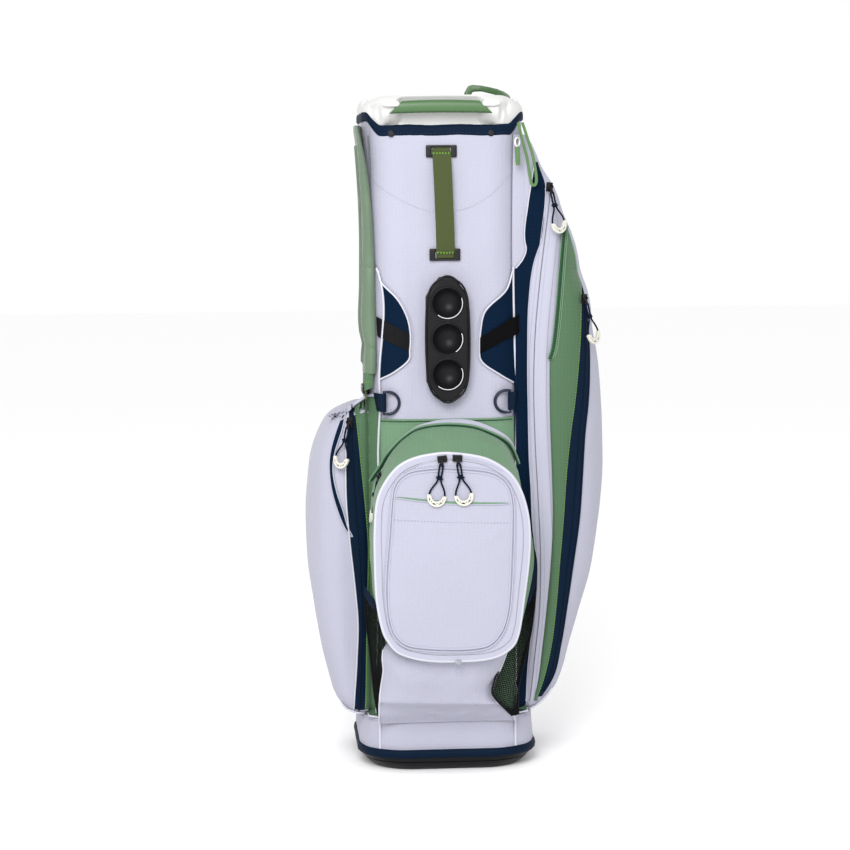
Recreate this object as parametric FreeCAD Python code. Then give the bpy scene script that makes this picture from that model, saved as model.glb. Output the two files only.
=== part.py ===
"""Golf cart bag: padded tube body, moulded collar, zipped pockets and their pulls.

Units are millimetres.  The origin is the centre of the base's ground face,
+Z is up, -Y is the front of the bag (the ball pocket side), +X is its right.
Each node is written as one STEP file in parts/.
"""
import FreeCAD, Part
import math
import os

os.makedirs("parts", exist_ok=True)
V = FreeCAD.Vector

# ---------------------------------------------------------------- driving dimensions
WALL = 3.0                  # padded fabric of the tube
BODY_W, BODY_D, BODY_R = 104.0, 114.0, 50.0     # half width, half depth, corner radius
BODY_Z0, BODY_Z1 = 30.0, 880.0
CHORDS = 4                  # flat staves per rounded corner
FRONT_Y = -BODY_D

FOOT_Z, FOOT_TOP_Z, FOOT_WALL = 19.0, 30.0, 4.0
SKIRT_W, SKIRT_D, SKIRT_R = 121.0, 119.0, 63.0
SKIRT_TOP_W, SKIRT_TOP_D, SKIRT_Z1 = 118.0, 118.0, 72.0
BINDING = 3.0               # how far the navy bindings stand proud

RIM_Z, COLLAR_FLARE_Z = 920.0, 905.0
COLLAR_W, COLLAR_D = 112.0, 119.0
COLLAR_INNER_W, COLLAR_INNER_D, COLLAR_INNER_R = 100.0, 110.0, 46.0
TRIM_Z0, TRIM_Z1 = 867.0, 881.0
STUD_X, STUD_Z = (-72.5, 61.5), 870.0

ROW_Y = 55.0                # cross sheets of the divider at -ROW_Y, 0 and ROW_Y
SHEET, GRID = 1.4, 4.0      # thickness of the full-length sheets and of the top grid
GRID_Z0, GRID_Z1 = 882.0, 906.0
STAY_X, STAY_Y = 96.5, 28.0
WELL_X = {"outer": (-36.0, 36.0), "inner": (-52.0, 0.0, 52.0)}

HANDLE_HALF, HANDLE_POST = 66.0, 16.0           # front handle: half span, post width
HANDLE_Y0, HANDLE_Y1 = -134.0, -118.0
HANDLE_Z0, HANDLE_Z1 = 899.0, 915.0
REAR_MID = (55.0, 63.5)     # the rear handle bends round the rim's right rear corner about here
REAR_R0, REAR_R1 = 45.5, 53.0
NOTCH_Y = -100.0            # the collar steps back to here behind the front handle

SILO_Z0, SILO_Z1, SILO_W = 511.0, 678.0, 57.0
SILO_DEPTH = 20.0
BALL_R = 21.335             # a golf ball
CUP_R, CUP_DEPTH = 21.6, 15.0
CUP_PITCH, CUP_MID_Z = 48.0, 595.0

LOOP_Z = (709.0, 848.0)     # the two rectangular loops of the lift handle
LOOP_W, LOOP_H, LOOP_T = 41.0, 16.0, 4.0
WEBBING_W = 25.0

D_RING_X, D_RING_Z, D_RING_R, WIRE_R = 86.0, 509.0, 14.4, 1.65
D_RING_Y = FRONT_Y - 2.6
D_ARM = 5.0                 # straight part of the D between bar and bow

# Right half of the front pocket's outline, (x, z), from its top to its foot.
DOOR_HALF = [(0, 449), (38, 443), (71, 429), (94, 393), (103, 345),
             (102, 280), (91, 212), (79, 186), (49, 173), (0, 169)]
DOOR_Y0, DOOR_Y1 = -202.0, -190.0
FRAME_Y0 = DOOR_Y1 + 1.0
FRAME_Y1 = FRONT_Y - 1.0
POCKET_MID_Z = 309.0        # centre about which the frame's outline is drawn in
FRAME_OUT, FRAME_IN = 0.975, 0.935
DOOR_HINGE_Z = 171.0
DOME_HALF = [(0, 481), (42, 475), (74, 454), (91, 420)]     # back edge of the ball pocket
TOP_ZIP_R = 134.0           # radius of the front zip where it crosses the door's top
TOP_ZIP_MID_Z = 449.0 - TOP_ZIP_R

SIDE_X = BODY_W + 2.0       # side pockets start here
POCKET_WALL = 3.0

STRAP_X0, STRAP_X1 = -105.0, -116.0
STRAP_Y0, STRAP_Y1 = -98.0, -38.0
STRAP_Z0, STRAP_Z1 = 545.0, 864.0

CORD_D = 2.4

RING_X, RING_Y, RING_Z, RING_R, RING_WIRE = 97.0, -116.0, 857.5, 5.6, 1.3
RING_PIN_R = 1.1
RING_PIN_Z = RING_Z + RING_R - RING_WIRE - RING_PIN_R - 0.1


# ---------------------------------------------------------------- helpers
def save(name, solids):
    """Write one node, made of one solid or of a list of separate solids."""
    shape = solids if not isinstance(solids, list) else Part.makeCompound(solids)
    bad = [s for s in shape.Solids if not s.isValid() or s.Volume <= 0]
    if bad or not shape.Solids:
        raise RuntimeError("bad solid in " + name)
    shape.exportStep("parts/" + name + ".step")


def block(x0, x1, y0, y1, z0, z1):
    low = V(min(x0, x1), min(y0, y1), min(z0, z1))
    return Part.makeBox(abs(x1 - x0), abs(y1 - y0), abs(z1 - z0), low)


def rod(start, end, radius):
    start, end = V(*start), V(*end)
    run = end - start
    return Part.makeCylinder(radius, run.Length, start, run)


def closed_wire(points):
    return Part.makePolygon([V(*p) for p in points] + [V(*points[0])])


def prism_xz(points, y0, y1):
    """Extrude an (x, z) outline along Y."""
    face = Part.Face(closed_wire([(x, y0, z) for x, z in points]))
    return face.extrude(V(0, y1 - y0, 0))


def prism_xy(points, z0, z1):
    """Extrude an (x, y) outline along Z."""
    face = Part.Face(closed_wire([(x, y, z0) for x, y in points]))
    return face.extrude(V(0, 0, z1 - z0))


def mirror_half(half):
    """Close a right-hand half outline that starts and ends on x = 0."""
    left = [(-x, z) for x, z in reversed(half) if x > 0]
    return half + left


def drawn_in(points, factor, mid=(0.0, POCKET_MID_Z)):
    return [(mid[0] + (x - mid[0]) * factor, mid[1] + (z - mid[1]) * factor) for x, z in points]


def faceted(faces):
    """A solid from flat faces; faces of four points are split into two triangles."""
    made = []
    for face in faces:
        pieces = [face] if len(face) == 3 else [[face[0], face[1], face[2]], [face[0], face[2], face[3]]]
        made += [Part.Face(closed_wire(piece)) for piece in pieces]
    shell = Part.makeShell(made)
    shell.sewShape()
    solid = Part.makeSolid(shell)
    if solid.Volume < 0:
        solid.reverse()
    return solid


def hexahedron(a, b):
    """The solid between quad a and quad b, corner to corner."""
    sides = [[a[i], a[(i + 1) % 4], b[(i + 1) % 4], b[i]] for i in range(4)]
    return faceted([list(reversed(a)), list(b)] + sides)


def wedge(a, b):
    """The solid between triangle a and triangle b."""
    sides = [[a[i], a[(i + 1) % 3], b[(i + 1) % 3], b[i]] for i in range(3)]
    return faceted([list(reversed(a)), list(b)] + sides)


def rounded_points(half_w, half_d, radius):
    """Rounded rectangle in XY as chords, counter-clockwise from the front right."""
    points = []
    corners = [(1, -1, -90), (1, 1, 0), (-1, 1, 90), (-1, -1, 180)]
    for sx, sy, start in corners:
        cx, cy = sx * (half_w - radius), sy * (half_d - radius)
        for i in range(CHORDS + 1):
            a = math.radians(start + 90.0 * i / CHORDS)
            points.append((cx + radius * math.cos(a), cy + radius * math.sin(a)))
    return points


def stave(outer, inner, index, z0, z1, outer_top=None, inner_top=None):
    """One flat stave of a ring wall between two outlines of equal count."""
    outer_top = outer_top or outer
    inner_top = inner_top or inner
    j = (index + 1) % len(outer)
    low = [outer[index] + (z0,), outer[j] + (z0,), inner[j] + (z0,), inner[index] + (z0,)]
    high = [outer_top[index] + (z1,), outer_top[j] + (z1,), inner_top[j] + (z1,), inner_top[index] + (z1,)]
    return hexahedron(low, high)


def rounded_wire(half_w, half_d, radius, z):
    """True rounded rectangle in XY at height z."""
    edges = []
    corners = [(1, -1, -90), (1, 1, 0), (-1, 1, 90), (-1, -1, 180)]
    ends = []
    for sx, sy, start in corners:
        cx, cy = sx * (half_w - radius), sy * (half_d - radius)
        arc = [V(cx + radius * math.cos(math.radians(start + t)),
                 cy + radius * math.sin(math.radians(start + t)), z) for t in (0, 45, 90)]
        ends.append(arc)
    for i, arc in enumerate(ends):
        edges.append(Part.Arc(*arc).toShape())
        edges.append(Part.LineSegment(arc[2], ends[(i + 1) % 4][0]).toShape())
    return Part.Wire(edges)


# ---------------------------------------------------------------- base and tube
def build_base():
    lower = [rounded_wire(114, 112, 56, 0), rounded_wire(SKIRT_W + 1, SKIRT_D + 1, 64, FOOT_Z)]
    foot = Part.makeLoft(lower, True, True)
    plug = Part.Face(rounded_wire(SKIRT_W, SKIRT_D, SKIRT_R, FOOT_Z)).extrude(V(0, 0, FOOT_TOP_Z - FOOT_Z))
    void = Part.Face(rounded_wire(114 - FOOT_WALL, 112 - FOOT_WALL, 51, FOOT_WALL))
    void = void.extrude(V(0, 0, FOOT_TOP_Z - 2 * FOOT_WALL))
    save("base_foot", foot.fuse(plug).removeSplitter().cut(void))

    ring = Part.Face(rounded_wire(SKIRT_W + BINDING, SKIRT_D + BINDING, 66, FOOT_Z))
    ring = ring.extrude(V(0, 0, FOOT_TOP_Z - FOOT_Z)).cut(plug)
    save("base_binding", ring)

    outer, inner = rounded_points(SKIRT_W, SKIRT_D, SKIRT_R), rounded_points(BODY_W, BODY_D, BODY_R)
    top = rounded_points(SKIRT_TOP_W, SKIRT_TOP_D, SKIRT_R)
    save("base_skirt", [stave(outer, inner, i, FOOT_TOP_Z, SKIRT_Z1, top) for i in range(len(outer))])


def build_panels():
    """Four sewn panels; they meet at the middle of each rounded corner."""
    outer = rounded_points(BODY_W, BODY_D, BODY_R)
    inner = rounded_points(BODY_W - WALL, BODY_D - WALL, BODY_R - WALL)
    count = len(outer)
    per_side = CHORDS + 1
    names = ["right_panel", "back_panel", "left_panel", "front_panel"]
    for side, name in enumerate(names):
        first = side * per_side + CHORDS // 2
        staves = [(first + k) % count for k in range(per_side)]
        save(name, [stave(outer, inner, i, BODY_Z0, BODY_Z1) for i in staves])


def divider_plates(thickness, z0, z1, half_w, front_y, back_y):
    """Three cross plates and the short plates between them."""
    h = thickness / 2
    plates = [block(-half_w, half_w, y - h, y + h, z0, z1) for y in (-ROW_Y, 0.0, ROW_Y)]
    for x in WELL_X["outer"]:
        plates.append(block(x - h, x + h, front_y, -ROW_Y - h, z0, z1))
        plates.append(block(x - h, x + h, ROW_Y + h, back_y, z0, z1))
    for x in WELL_X["inner"]:
        plates.append(block(x - h, x + h, -ROW_Y + h, -h, z0, z1))
        plates.append(block(x - h, x + h, h, ROW_Y - h, z0, z1))
    return plates


def build_inside():
    save("divider_sheets", divider_plates(SHEET, FOOT_TOP_Z, BODY_Z1, 100.0, -109.0, 109.0))
    save("divider_grid", divider_plates(GRID, GRID_Z0, GRID_Z1, 98.5, NOTCH_Y + 5.0, 109.0))
    stays = [rod((sx * STAY_X, sy * STAY_Y, FOOT_TOP_Z), (sx * STAY_X, sy * STAY_Y, BODY_Z1 - 4), 3.0)
             for sx in (-1, 1) for sy in (-1, 1)]
    save("stays", stays)


# ---------------------------------------------------------------- collar and handles
def rear_handle():
    """Bar that stands on the rim and follows its corner: (angle from +X, underside, top)."""
    profile = [(100, RIM_Z, 931.0), (93, RIM_Z, 942.0), (86, 933.5, 943.5), (72, 934.0, 942.5),
               (57, 931.0, 940.0), (42, 928.0, 937.0), (27, 924.5, 933.0), (14, 921.0, 929.0),
               (12, RIM_Z, 928.5), (-2, RIM_Z, 925.0), (-14, RIM_Z, 921.5)]
    sections = []
    for angle, under, top in profile:
        a = math.radians(angle)
        corners = [(REAR_R0, under), (REAR_R1, under), (REAR_R1, top), (REAR_R0, top)]
        sections.append([(REAR_MID[0] + r * math.cos(a), REAR_MID[1] + r * math.sin(a), z) for r, z in corners])
    pieces = [hexahedron(a, b) for a, b in zip(sections, sections[1:])]
    return pieces[0].fuse(pieces[1:]).removeSplitter()


def build_collar():
    z0 = TRIM_Z1
    flare = Part.makeLoft([rounded_wire(BODY_W + 1, BODY_D + 1, BODY_R + 1, z0),
                           rounded_wire(COLLAR_W, COLLAR_D, 56, COLLAR_FLARE_Z)], True, True)
    lip = Part.makeLoft([rounded_wire(COLLAR_W, COLLAR_D, 56, COLLAR_FLARE_Z),
                         rounded_wire(COLLAR_W - 3, COLLAR_D - 3, 53, RIM_Z)], True, True)
    well = Part.Face(rounded_wire(COLLAR_INNER_W, COLLAR_INNER_D, COLLAR_INNER_R, z0 - 1))
    ring = flare.fuse(lip).cut(well.extrude(V(0, 0, RIM_Z - z0 + 2)))
    notch = block(-HANDLE_HALF, HANDLE_HALF, -140, NOTCH_Y, z0 - 1, RIM_Z + 1)
    bridge = block(-HANDLE_HALF - 4, HANDLE_HALF + 4, NOTCH_Y, NOTCH_Y + 5, z0, RIM_Z)
    shelf = block(-HANDLE_HALF - 2, HANDLE_HALF + 2, -BODY_D - 1, NOTCH_Y + 1, z0, z0 + 8)
    collar = ring.cut(notch).fuse(bridge).fuse(shelf)
    for side in (-1, 1):
        post = block(side * HANDLE_HALF, side * (HANDLE_HALF + HANDLE_POST), HANDLE_Y0 + 2, -108,
                     HANDLE_Z0 - 8, HANDLE_Z1)
        collar = collar.fuse(post)
    core_y, core_z = (HANDLE_Y0 + HANDLE_Y1) / 2, (HANDLE_Z0 + HANDLE_Z1) / 2
    core = rod((-HANDLE_HALF - 1, core_y, core_z), (HANDLE_HALF + 1, core_y, core_z), 4.0)
    collar = collar.fuse(core).removeSplitter()
    save("top_collar", collar)

    grip = rod((-HANDLE_HALF, core_y, core_z), (HANDLE_HALF, core_y, core_z), 8.0)
    save("front_grip", grip.cut(rod((-90, core_y, core_z), (90, core_y, core_z), 4.02)))

    save("rear_handle", rear_handle())

    height = V(0, 0, TRIM_Z1 - TRIM_Z0)
    ring = Part.Face(rounded_wire(BODY_W + BINDING, BODY_D + BINDING, BODY_R + BINDING, TRIM_Z0))
    hole = Part.Face(rounded_wire(BODY_W, BODY_D, BODY_R, TRIM_Z0)).extrude(height)
    save("top_binding", ring.extrude(height).cut(hole))

    studs = []
    for x in STUD_X:
        y = FRONT_Y - BINDING
        foot = rod((x, y, STUD_Z), (x, y - 1.5, STUD_Z), 4.8)
        head = rod((x, y - 1.5, STUD_Z), (x, y - 4.0, STUD_Z), 3.6)
        studs.append(foot.fuse(head))
    save("snap_studs", studs)


# ---------------------------------------------------------------- front panel fittings
def build_silo():
    half = SILO_W / 2
    y0, y1 = FRONT_Y - SILO_DEPTH, FRONT_Y
    outline = [(-10, SILO_Z0), (10, SILO_Z0), (half, SILO_Z0 + 26), (half, SILO_Z1 - 26),
               (10, SILO_Z1), (-10, SILO_Z1), (-half, SILO_Z1 - 26), (-half, SILO_Z0 + 26)]
    body = prism_xz(outline, y0, y1)
    for k in (-1, 0, 1):
        mid = V(0, y0 + CUP_DEPTH - CUP_R, CUP_MID_Z + k * CUP_PITCH)
        body = body.cut(Part.makeSphere(CUP_R, mid))
    save("ball_silo", body)


def build_lift_handle():
    loops = []
    for z in LOOP_Z:
        y0, y1 = FRONT_Y - LOOP_T, FRONT_Y
        ring = block(-LOOP_W / 2, LOOP_W / 2, y0, y1, z - LOOP_H / 2, z + LOOP_H / 2)
        slot = block(-WEBBING_W / 2 - 1, WEBBING_W / 2 + 1, y0 - 1, y1 + 1, z - 4.5, z + 4.5)
        loops.append(ring.cut(slot))
    save("lift_handle_loops", loops)

    # webbing: sewn down inside each loop, bowed off the panel between them
    low, high = LOOP_Z
    y = FRONT_Y
    side = [(y - 0.2, low - 4), (y - 3.0, low - 4), (y - 14, low + 22), (y - 14, high - 22),
            (y - 3.0, high + 4), (y - 0.2, high + 4), (y - 0.2, high - 3), (y - 11.5, high - 24),
            (y - 11.5, low + 24), (y - 0.2, low + 3)]
    half = WEBBING_W / 2
    face = Part.Face(closed_wire([(-half, py, pz) for py, pz in side]))
    strap = face.extrude(V(WEBBING_W, 0, 0))
    for solid in loops:
        strap = strap.cut(solid)
    save("lift_handle_strap", strap)


def build_d_rings():
    """The bar of each ring turns in a folded webbing tab beside the piping."""
    tabs = []
    y = D_RING_Y
    for side, name in ((-1, "left_d_ring"), (1, "right_d_ring")):
        bar_x = side * D_RING_X
        z0, z1 = D_RING_Z - D_RING_R, D_RING_Z + D_RING_R
        bow_x = bar_x - side * D_ARM
        ring = rod((bar_x, y, z0), (bar_x, y, z1), WIRE_R)
        for z in (z0, z1):
            ring = ring.fuse(Part.makeSphere(WIRE_R, V(bar_x, y, z)))
            ring = ring.fuse(rod((bar_x, y, z), (bow_x, y, z), WIRE_R))
        bow = Part.makeTorus(D_RING_R, WIRE_R, V(bow_x, y, D_RING_Z), V(0, 1, 0), -180, 180, 360)
        keep = block(bow_x, bow_x - side * 40, y - 20, y + 20, z0 - 10, z1 + 10)
        ring = ring.fuse(bow.common(keep)).removeSplitter()
        save(name, ring)
        half = D_RING_R - WIRE_R - 1.5
        outer_x = bar_x + side * 6
        inner_x = bar_x - side * 3
        low, high = D_RING_Z - half, D_RING_Z + half
        tabs.append(block(outer_x, inner_x, y - 3.4, y - 2.2, low, high))
        tabs.append(block(outer_x, inner_x, y + 2.2, y + 3.4, low, high))
        tabs.append(block(outer_x, outer_x + side * 1.2, y - 3.4, y + 3.4, low, high))
    save("d_ring_tabs", tabs)


def build_cart_straps():
    """Webbing that passes behind the silo; its two ends show in the side windows."""
    y0, y1 = FRONT_Y - 3.0, FRONT_Y - 0.3
    save("cart_strap", prism_xz([(-80, 626), (-48, 602), (-48, 577), (-80, 596)], y0, y1))
    save("strap_keeper", prism_xz([(48, 596), (80, 618), (80, 594), (48, 575)], y0, y1))


# ---------------------------------------------------------------- front pocket
def door_wire(y):
    """The door's outline as five arcs on each side of its middle."""
    half = [V(x, y, z) for x, z in DOOR_HALF]
    other = [V(-x, y, z) for x, z in DOOR_HALF]
    arcs = [Part.Arc(other[2], half[0], half[2]),
            Part.Arc(half[2], half[3], half[4]), Part.Arc(half[4], half[5], half[6]),
            Part.Arc(half[6], half[7], half[8]), Part.Arc(half[8], half[9], other[8]),
            Part.Arc(other[8], other[7], other[6]), Part.Arc(other[6], other[5], other[4]),
            Part.Arc(other[4], other[3], other[2])]
    return Part.Wire([arc.toShape() for arc in arcs])


def build_front_pocket():
    door = Part.Face(door_wire(DOOR_Y1)).extrude(V(0, DOOR_Y0 - DOOR_Y1, 0))
    save("front_pocket_door", door)

    outline = mirror_half(DOOR_HALF)
    outer = drawn_in(outline, FRAME_OUT)
    inner = drawn_in(outline, FRAME_IN)
    walls = []
    for i in range(len(outline)):
        j = (i + 1) % len(outline)
        walls.append(prism_xz([outer[i], outer[j], inner[j], inner[i]], FRAME_Y0, FRAME_Y1))
    save("front_pocket_frame", walls)

    # ball pocket: a sloping hood from the tube down to the frame's top arch
    front = drawn_in(DOOR_HALF[:4], FRAME_OUT + 0.002)
    hood = []
    for side in (-1, 1):
        for i in range(3):
            ends = []
            for k in (i, i + 1):
                fx, fz = front[k]
                bx, bz = DOME_HALF[k]
                ends.append([(side * fx, FRAME_Y0, fz), (side * bx, FRAME_Y1, bz), (side * fx, FRAME_Y1, fz)])
            hood.append(wedge(ends[0], ends[1]))
    save("ball_pocket", hood)

    top, foot = 162.0, 76.0
    lower = hexahedron(
        [(-90, FRAME_Y1, foot), (72, FRAME_Y1, foot), (72, -127, foot), (-90, -127, foot)],
        [(-84, FRAME_Y1, top), (56, FRAME_Y1, top), (56, FRAME_Y0, top), (-84, FRAME_Y0, top)])
    save("front_pocket_foot", lower)


def build_mesh_pockets():
    y0, y1 = -150.0, FRAME_Y1
    right = [(76, 78), (92, 78), (99, 182), (106, 238), (107, 284), (103, 284), (93, 206), (80, 174), (60, 160)]
    save("right_mesh_pocket", prism_xz(right, y0, y1))
    left = [(-93, 78), (-100, 78), (-104, 160), (-111, 227), (-112, 266), (-106, 266), (-98, 214), (-88, 171)]
    save("left_mesh_pocket", prism_xz(left, y0, y1))


# ---------------------------------------------------------------- side pockets
# Plan views (x, y) that both side pockets are rounded to.
RIGHT_PLAN = [(SIDE_X, -104), (140, -104), (200, -76), (224, -45), (232, 0),
              (226, 50), (200, 84), (170, 96), (SIDE_X, 96)]
LEFT_PLAN = [(-SIDE_X, -98), (-144, -98), (-170, -76), (-187, -42), (-192, 0),
             (-188, 45), (-168, 78), (-145, 90), (-SIDE_X, 90)]


def front_y(x):
    """Y of the side pockets' front surface at x."""
    plan = RIGHT_PLAN if x > 0 else [(-px, py) for px, py in LEFT_PLAN]
    x = abs(x)
    for (x0, y0), (x1, y1) in zip(plan, plan[1:]):
        if x0 <= x <= x1:
            return y0 + (y1 - y0) * (x - x0) / (x1 - x0)
    return plan[0][1]


def side_pocket(outline, plan, y0, y1, mid):
    """A closed pocket with walls: an (x, z) outline rounded to a plan, hollow inside."""
    tall = (50.0, 900.0)
    centre = sum(x for x, y in plan) / len(plan), sum(y for x, y in plan) / len(plan)
    outer = prism_xz(outline, y0, y1).common(prism_xy(plan, *tall))
    small_plan = drawn_in(plan, 0.93, centre)
    cavity = prism_xz(drawn_in(outline, 0.93, mid), y0 + POCKET_WALL, y1 - POCKET_WALL)
    return outer.cut(cavity.common(prism_xy(small_plan, *tall)))


def build_left_side():
    outline = [(-106, 506), (-124, 506), (-143, 497), (-168, 451), (-187, 385), (-190, 339),
               (-180, 226), (-161, 126), (-140, 72), (-126, 62), (-120, 74), (-106, 74)]
    save("left_pocket", side_pocket(outline, LEFT_PLAN, -98, 90, (-146, 290)))
    gusset = [(-91, -97.5), (-SIDE_X, -102), (-SIDE_X, -105), (-91, -100.5)]
    save("left_gusset", prism_xy(gusset, 76, 505))


def build_right_side():
    apparel = [(SIDE_X, 80), (119, 80), (126, 84), (136, 200), (141, 290), (143, 480), (152, 600),
               (170, 715), (151, 800), (114, 866), (SIDE_X, 866)]
    save("right_apparel_pocket", side_pocket(apparel, RIGHT_PLAN, -104, 96, (126, 470)))

    accessory = [(128, 86), (134, 90), (158, 215), (172, 330), (184, 440), (197, 560), (200, 650),
                 (187, 700), (171, 716), (153, 600), (144.5, 480), (142.5, 290), (137.5, 200)]
    save("right_accessory_pocket", side_pocket(accessory, RIGHT_PLAN, -104, -20, (163, 440)))

    rear = [(128, 84), (137, 90), (156, 119), (185, 213), (214, 327), (225, 400), (224, 455),
            (215, 575), (200, 650), (187, 700), (171, 716), (153, 600), (144.5, 480), (142.5, 290),
            (137.5, 200)]
    save("right_rear_pocket", side_pocket(rear, RIGHT_PLAN, -19, 96, (175, 420)))

    low = prism_xy([(91, -97.5), (SIDE_X - 1, -102), (SIDE_X - 1, -105), (91, -100.5)], 76, 686)
    tip = prism_xz([(112, 690), (118, 690), (132, 800), (126, 830)], -107, -104.5)
    save("right_gusset", [low, tip])


LEFT_ZIP = [(-134, 492), (-126, 90)]
WHITE_ZIP = [(146.8, 806), (121, 606), (120, 84)]
NAVY_ZIP = [(192.8, 661), (150, 190), (142, 110)]
TAPE, GAP = 2.0, 1.3        # thickness of a zip's tape, and its gap over the pocket


def zip_strip(points, width):
    """A tape of even width along straight (x, z) runs, one solid per run."""
    half = width / 2
    strips = []
    for (x0, z0), (x1, z1) in zip(points, points[1:]):
        ends = []
        for x, z in ((x0, z0), (x1, z1)):
            back = [(x - half, front_y(x - half) - GAP, z), (x + half, front_y(x + half) - GAP, z)]
            face = [(px, py - TAPE, pz) for px, py, pz in reversed(back)]
            ends.append(back + face)
        strips.append(hexahedron(ends[0], ends[1]))
    return strips


def build_zip_tapes():
    save("side_zip_tapes", zip_strip(LEFT_ZIP, 14) + zip_strip(WHITE_ZIP, 18) + zip_strip(NAVY_ZIP, 12))
    arc = Part.Arc(V(-71, DOOR_Y0, 429), V(0, DOOR_Y0, 449), V(71, DOOR_Y0, 429)).toShape()
    low = Part.Arc(V(-67, DOOR_Y0, 416), V(0, DOOR_Y0, 435), V(67, DOOR_Y0, 416)).toShape()
    ends = [Part.LineSegment(V(s * 71, DOOR_Y0, 429), V(s * 67, DOOR_Y0, 416)).toShape() for s in (-1, 1)]
    band = Part.Face(Part.Wire(Part.sortEdges([arc, low] + ends)[0])).extrude(V(0, -1.0, 0))
    save("front_zip_tape", band)


# ---------------------------------------------------------------- zip sliders and pulls
# The cord of a pull, (across, up) from the slider's pin, from one leg of the grip,
# through the bead, round the tab and back to the other leg.
PULL_ROUTE = [(-10.7, -50.0), (-10.2, -44.5), (-6.8, -37.5), (-2.7, -31.0), (-1.6, -25.0),
              (-2.3, -19.0), (-2.2, -12.5), (-2.7, -7.0), (2.7, -7.0), (2.3, -12.5),
              (2.4, -19.0), (1.6, -25.0), (2.9, -31.0), (7.0, -37.5), (10.2, -44.5), (10.7, -50.0)]
GRIP_MID_V, GRIP_R0, GRIP_R1, GRIP_T = -49.5, 7.4, 14.0, 4.6
BEAD_V, BEAD_R, BEAD_H = -25.0, 4.2, 5.0
SLIDER_W, SLIDER_L, SLIDER_H = 9.0, 13.0, 4.0
PIN_OFF = 4.8               # pin's height over the tape


def placement(pin, turn, lean, tilt):
    """Local frame of a pull: x across, z up, -y out of the pocket.

    tilt swings the pull in its own plane, lean lifts it off the pocket and
    turn faces it to the pocket's side."""
    spin = FreeCAD.Rotation(V(0, 0, 1), turn)
    spin = spin.multiply(FreeCAD.Rotation(V(1, 0, 0), -lean))
    spin = spin.multiply(FreeCAD.Rotation(V(0, 1, 0), tilt))
    return FreeCAD.Placement(V(*pin), spin)


def cord_solid(route, name):
    """Straight runs joined by tangent arcs, each 0.45 of its shorter run long."""
    points = [V(u, 0, v) for u, v in route]
    edges = []
    radii = []
    start = points[0]
    for before, here, after in zip(points, points[1:], points[2:]):
        back = (before - here).normalize()
        ahead = (after - here).normalize()
        reach = 0.45 * min((before - here).Length, (after - here).Length)
        turn = math.pi - back.getAngle(ahead)
        radius = reach / math.tan(turn / 2)
        radii.append(radius)
        enter, leave = here + back * reach, here + ahead * reach
        inward = (back + ahead).normalize()
        centre_gap = math.hypot(reach, radius)
        middle = here + inward * (centre_gap - radius)
        edges.append(Part.LineSegment(start, enter).toShape())
        edges.append(Part.Arc(enter, middle, leave).toShape())
        start = leave
    edges.append(Part.LineSegment(start, points[-1]).toShape())
    path = Part.Wire(edges)
    first = points[1] - points[0]
    profile = Part.Wire([Part.makeCircle(CORD_D / 2, points[0], first)])
    tube = path.makePipeShell([profile], True, False)
    expected = math.pi * CORD_D ** 2 / 4 * path.Length
    print(name, "cord length %.1f mm, volume ratio %.3f, least radius %.2f mm"
          % (path.Length, tube.Volume / expected, min(radii)))
    return tube


def pull_hardware():
    """Tab, bead and U-shaped grip, drawn about the pin at the origin."""
    tab = block(-2.5, 2.5, -0.6, 0.6, -9.0, -0.2)
    bead = rod((0, 0, BEAD_V - BEAD_H / 2), (0, 0, BEAD_V + BEAD_H / 2), BEAD_R)
    axis = V(0, 1, 0)
    centre = V(0, -GRIP_T / 2, GRIP_MID_V)
    ring = Part.makeCylinder(GRIP_R1, GRIP_T, centre, axis).cut(
        Part.makeCylinder(GRIP_R0, GRIP_T, centre, axis))
    grip = ring.common(block(-20, 20, -10, 10, GRIP_MID_V - 20, GRIP_MID_V))
    return [tab, bead, grip]


def slider_solids(along, across):
    """Slider body turned along the zip, and two ears that hold the tab's pin."""
    body = block(-SLIDER_W / 2, SLIDER_W / 2, PIN_OFF - SLIDER_H, PIN_OFF, -SLIDER_L / 2, SLIDER_L / 2)
    body.Placement = FreeCAD.Placement(V(0, 0, 0), FreeCAD.Rotation(V(0, 1, 0), along))
    solid = body
    for side in (-1, 1):
        ear = block(side * 2.9, side * 4.2, -1.2, PIN_OFF - SLIDER_H + 1, -2.0, 2.0)
        ear.Placement = FreeCAD.Placement(V(0, 0, 0), FreeCAD.Rotation(V(0, 1, 0), across))
        solid = solid.fuse(ear)
    return solid.removeSplitter()


def zip_arc_point(angle):
    """Point of the front zip's top arc at an angle from straight up, towards +X."""
    a = math.radians(angle)
    radius = TOP_ZIP_R - 7.0
    return radius * math.sin(a), TOP_ZIP_MID_Z + radius * math.cos(a)


FRONT_LEFT, FRONT_RIGHT = zip_arc_point(-6.5), zip_arc_point(2.6)
FRONT_PIN_Y = DOOR_Y0 - 1.0 - PIN_OFF


def pin_on_tape(x, z, facet, turn):
    """Pin over a side zip's tape, for a slider turned to turn on a facet that faces facet."""
    off = math.radians(turn - facet)
    out = PIN_OFF * math.cos(off) + SLIDER_W / 2 * math.sin(abs(off)) + TAPE + GAP + 0.2
    a = math.radians(facet)
    return x + out * math.sin(a), front_y(x) - out * math.cos(a), z


FACET = math.degrees(math.atan2(28, 60))        # how far the right side's slanted facet faces +X
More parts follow.
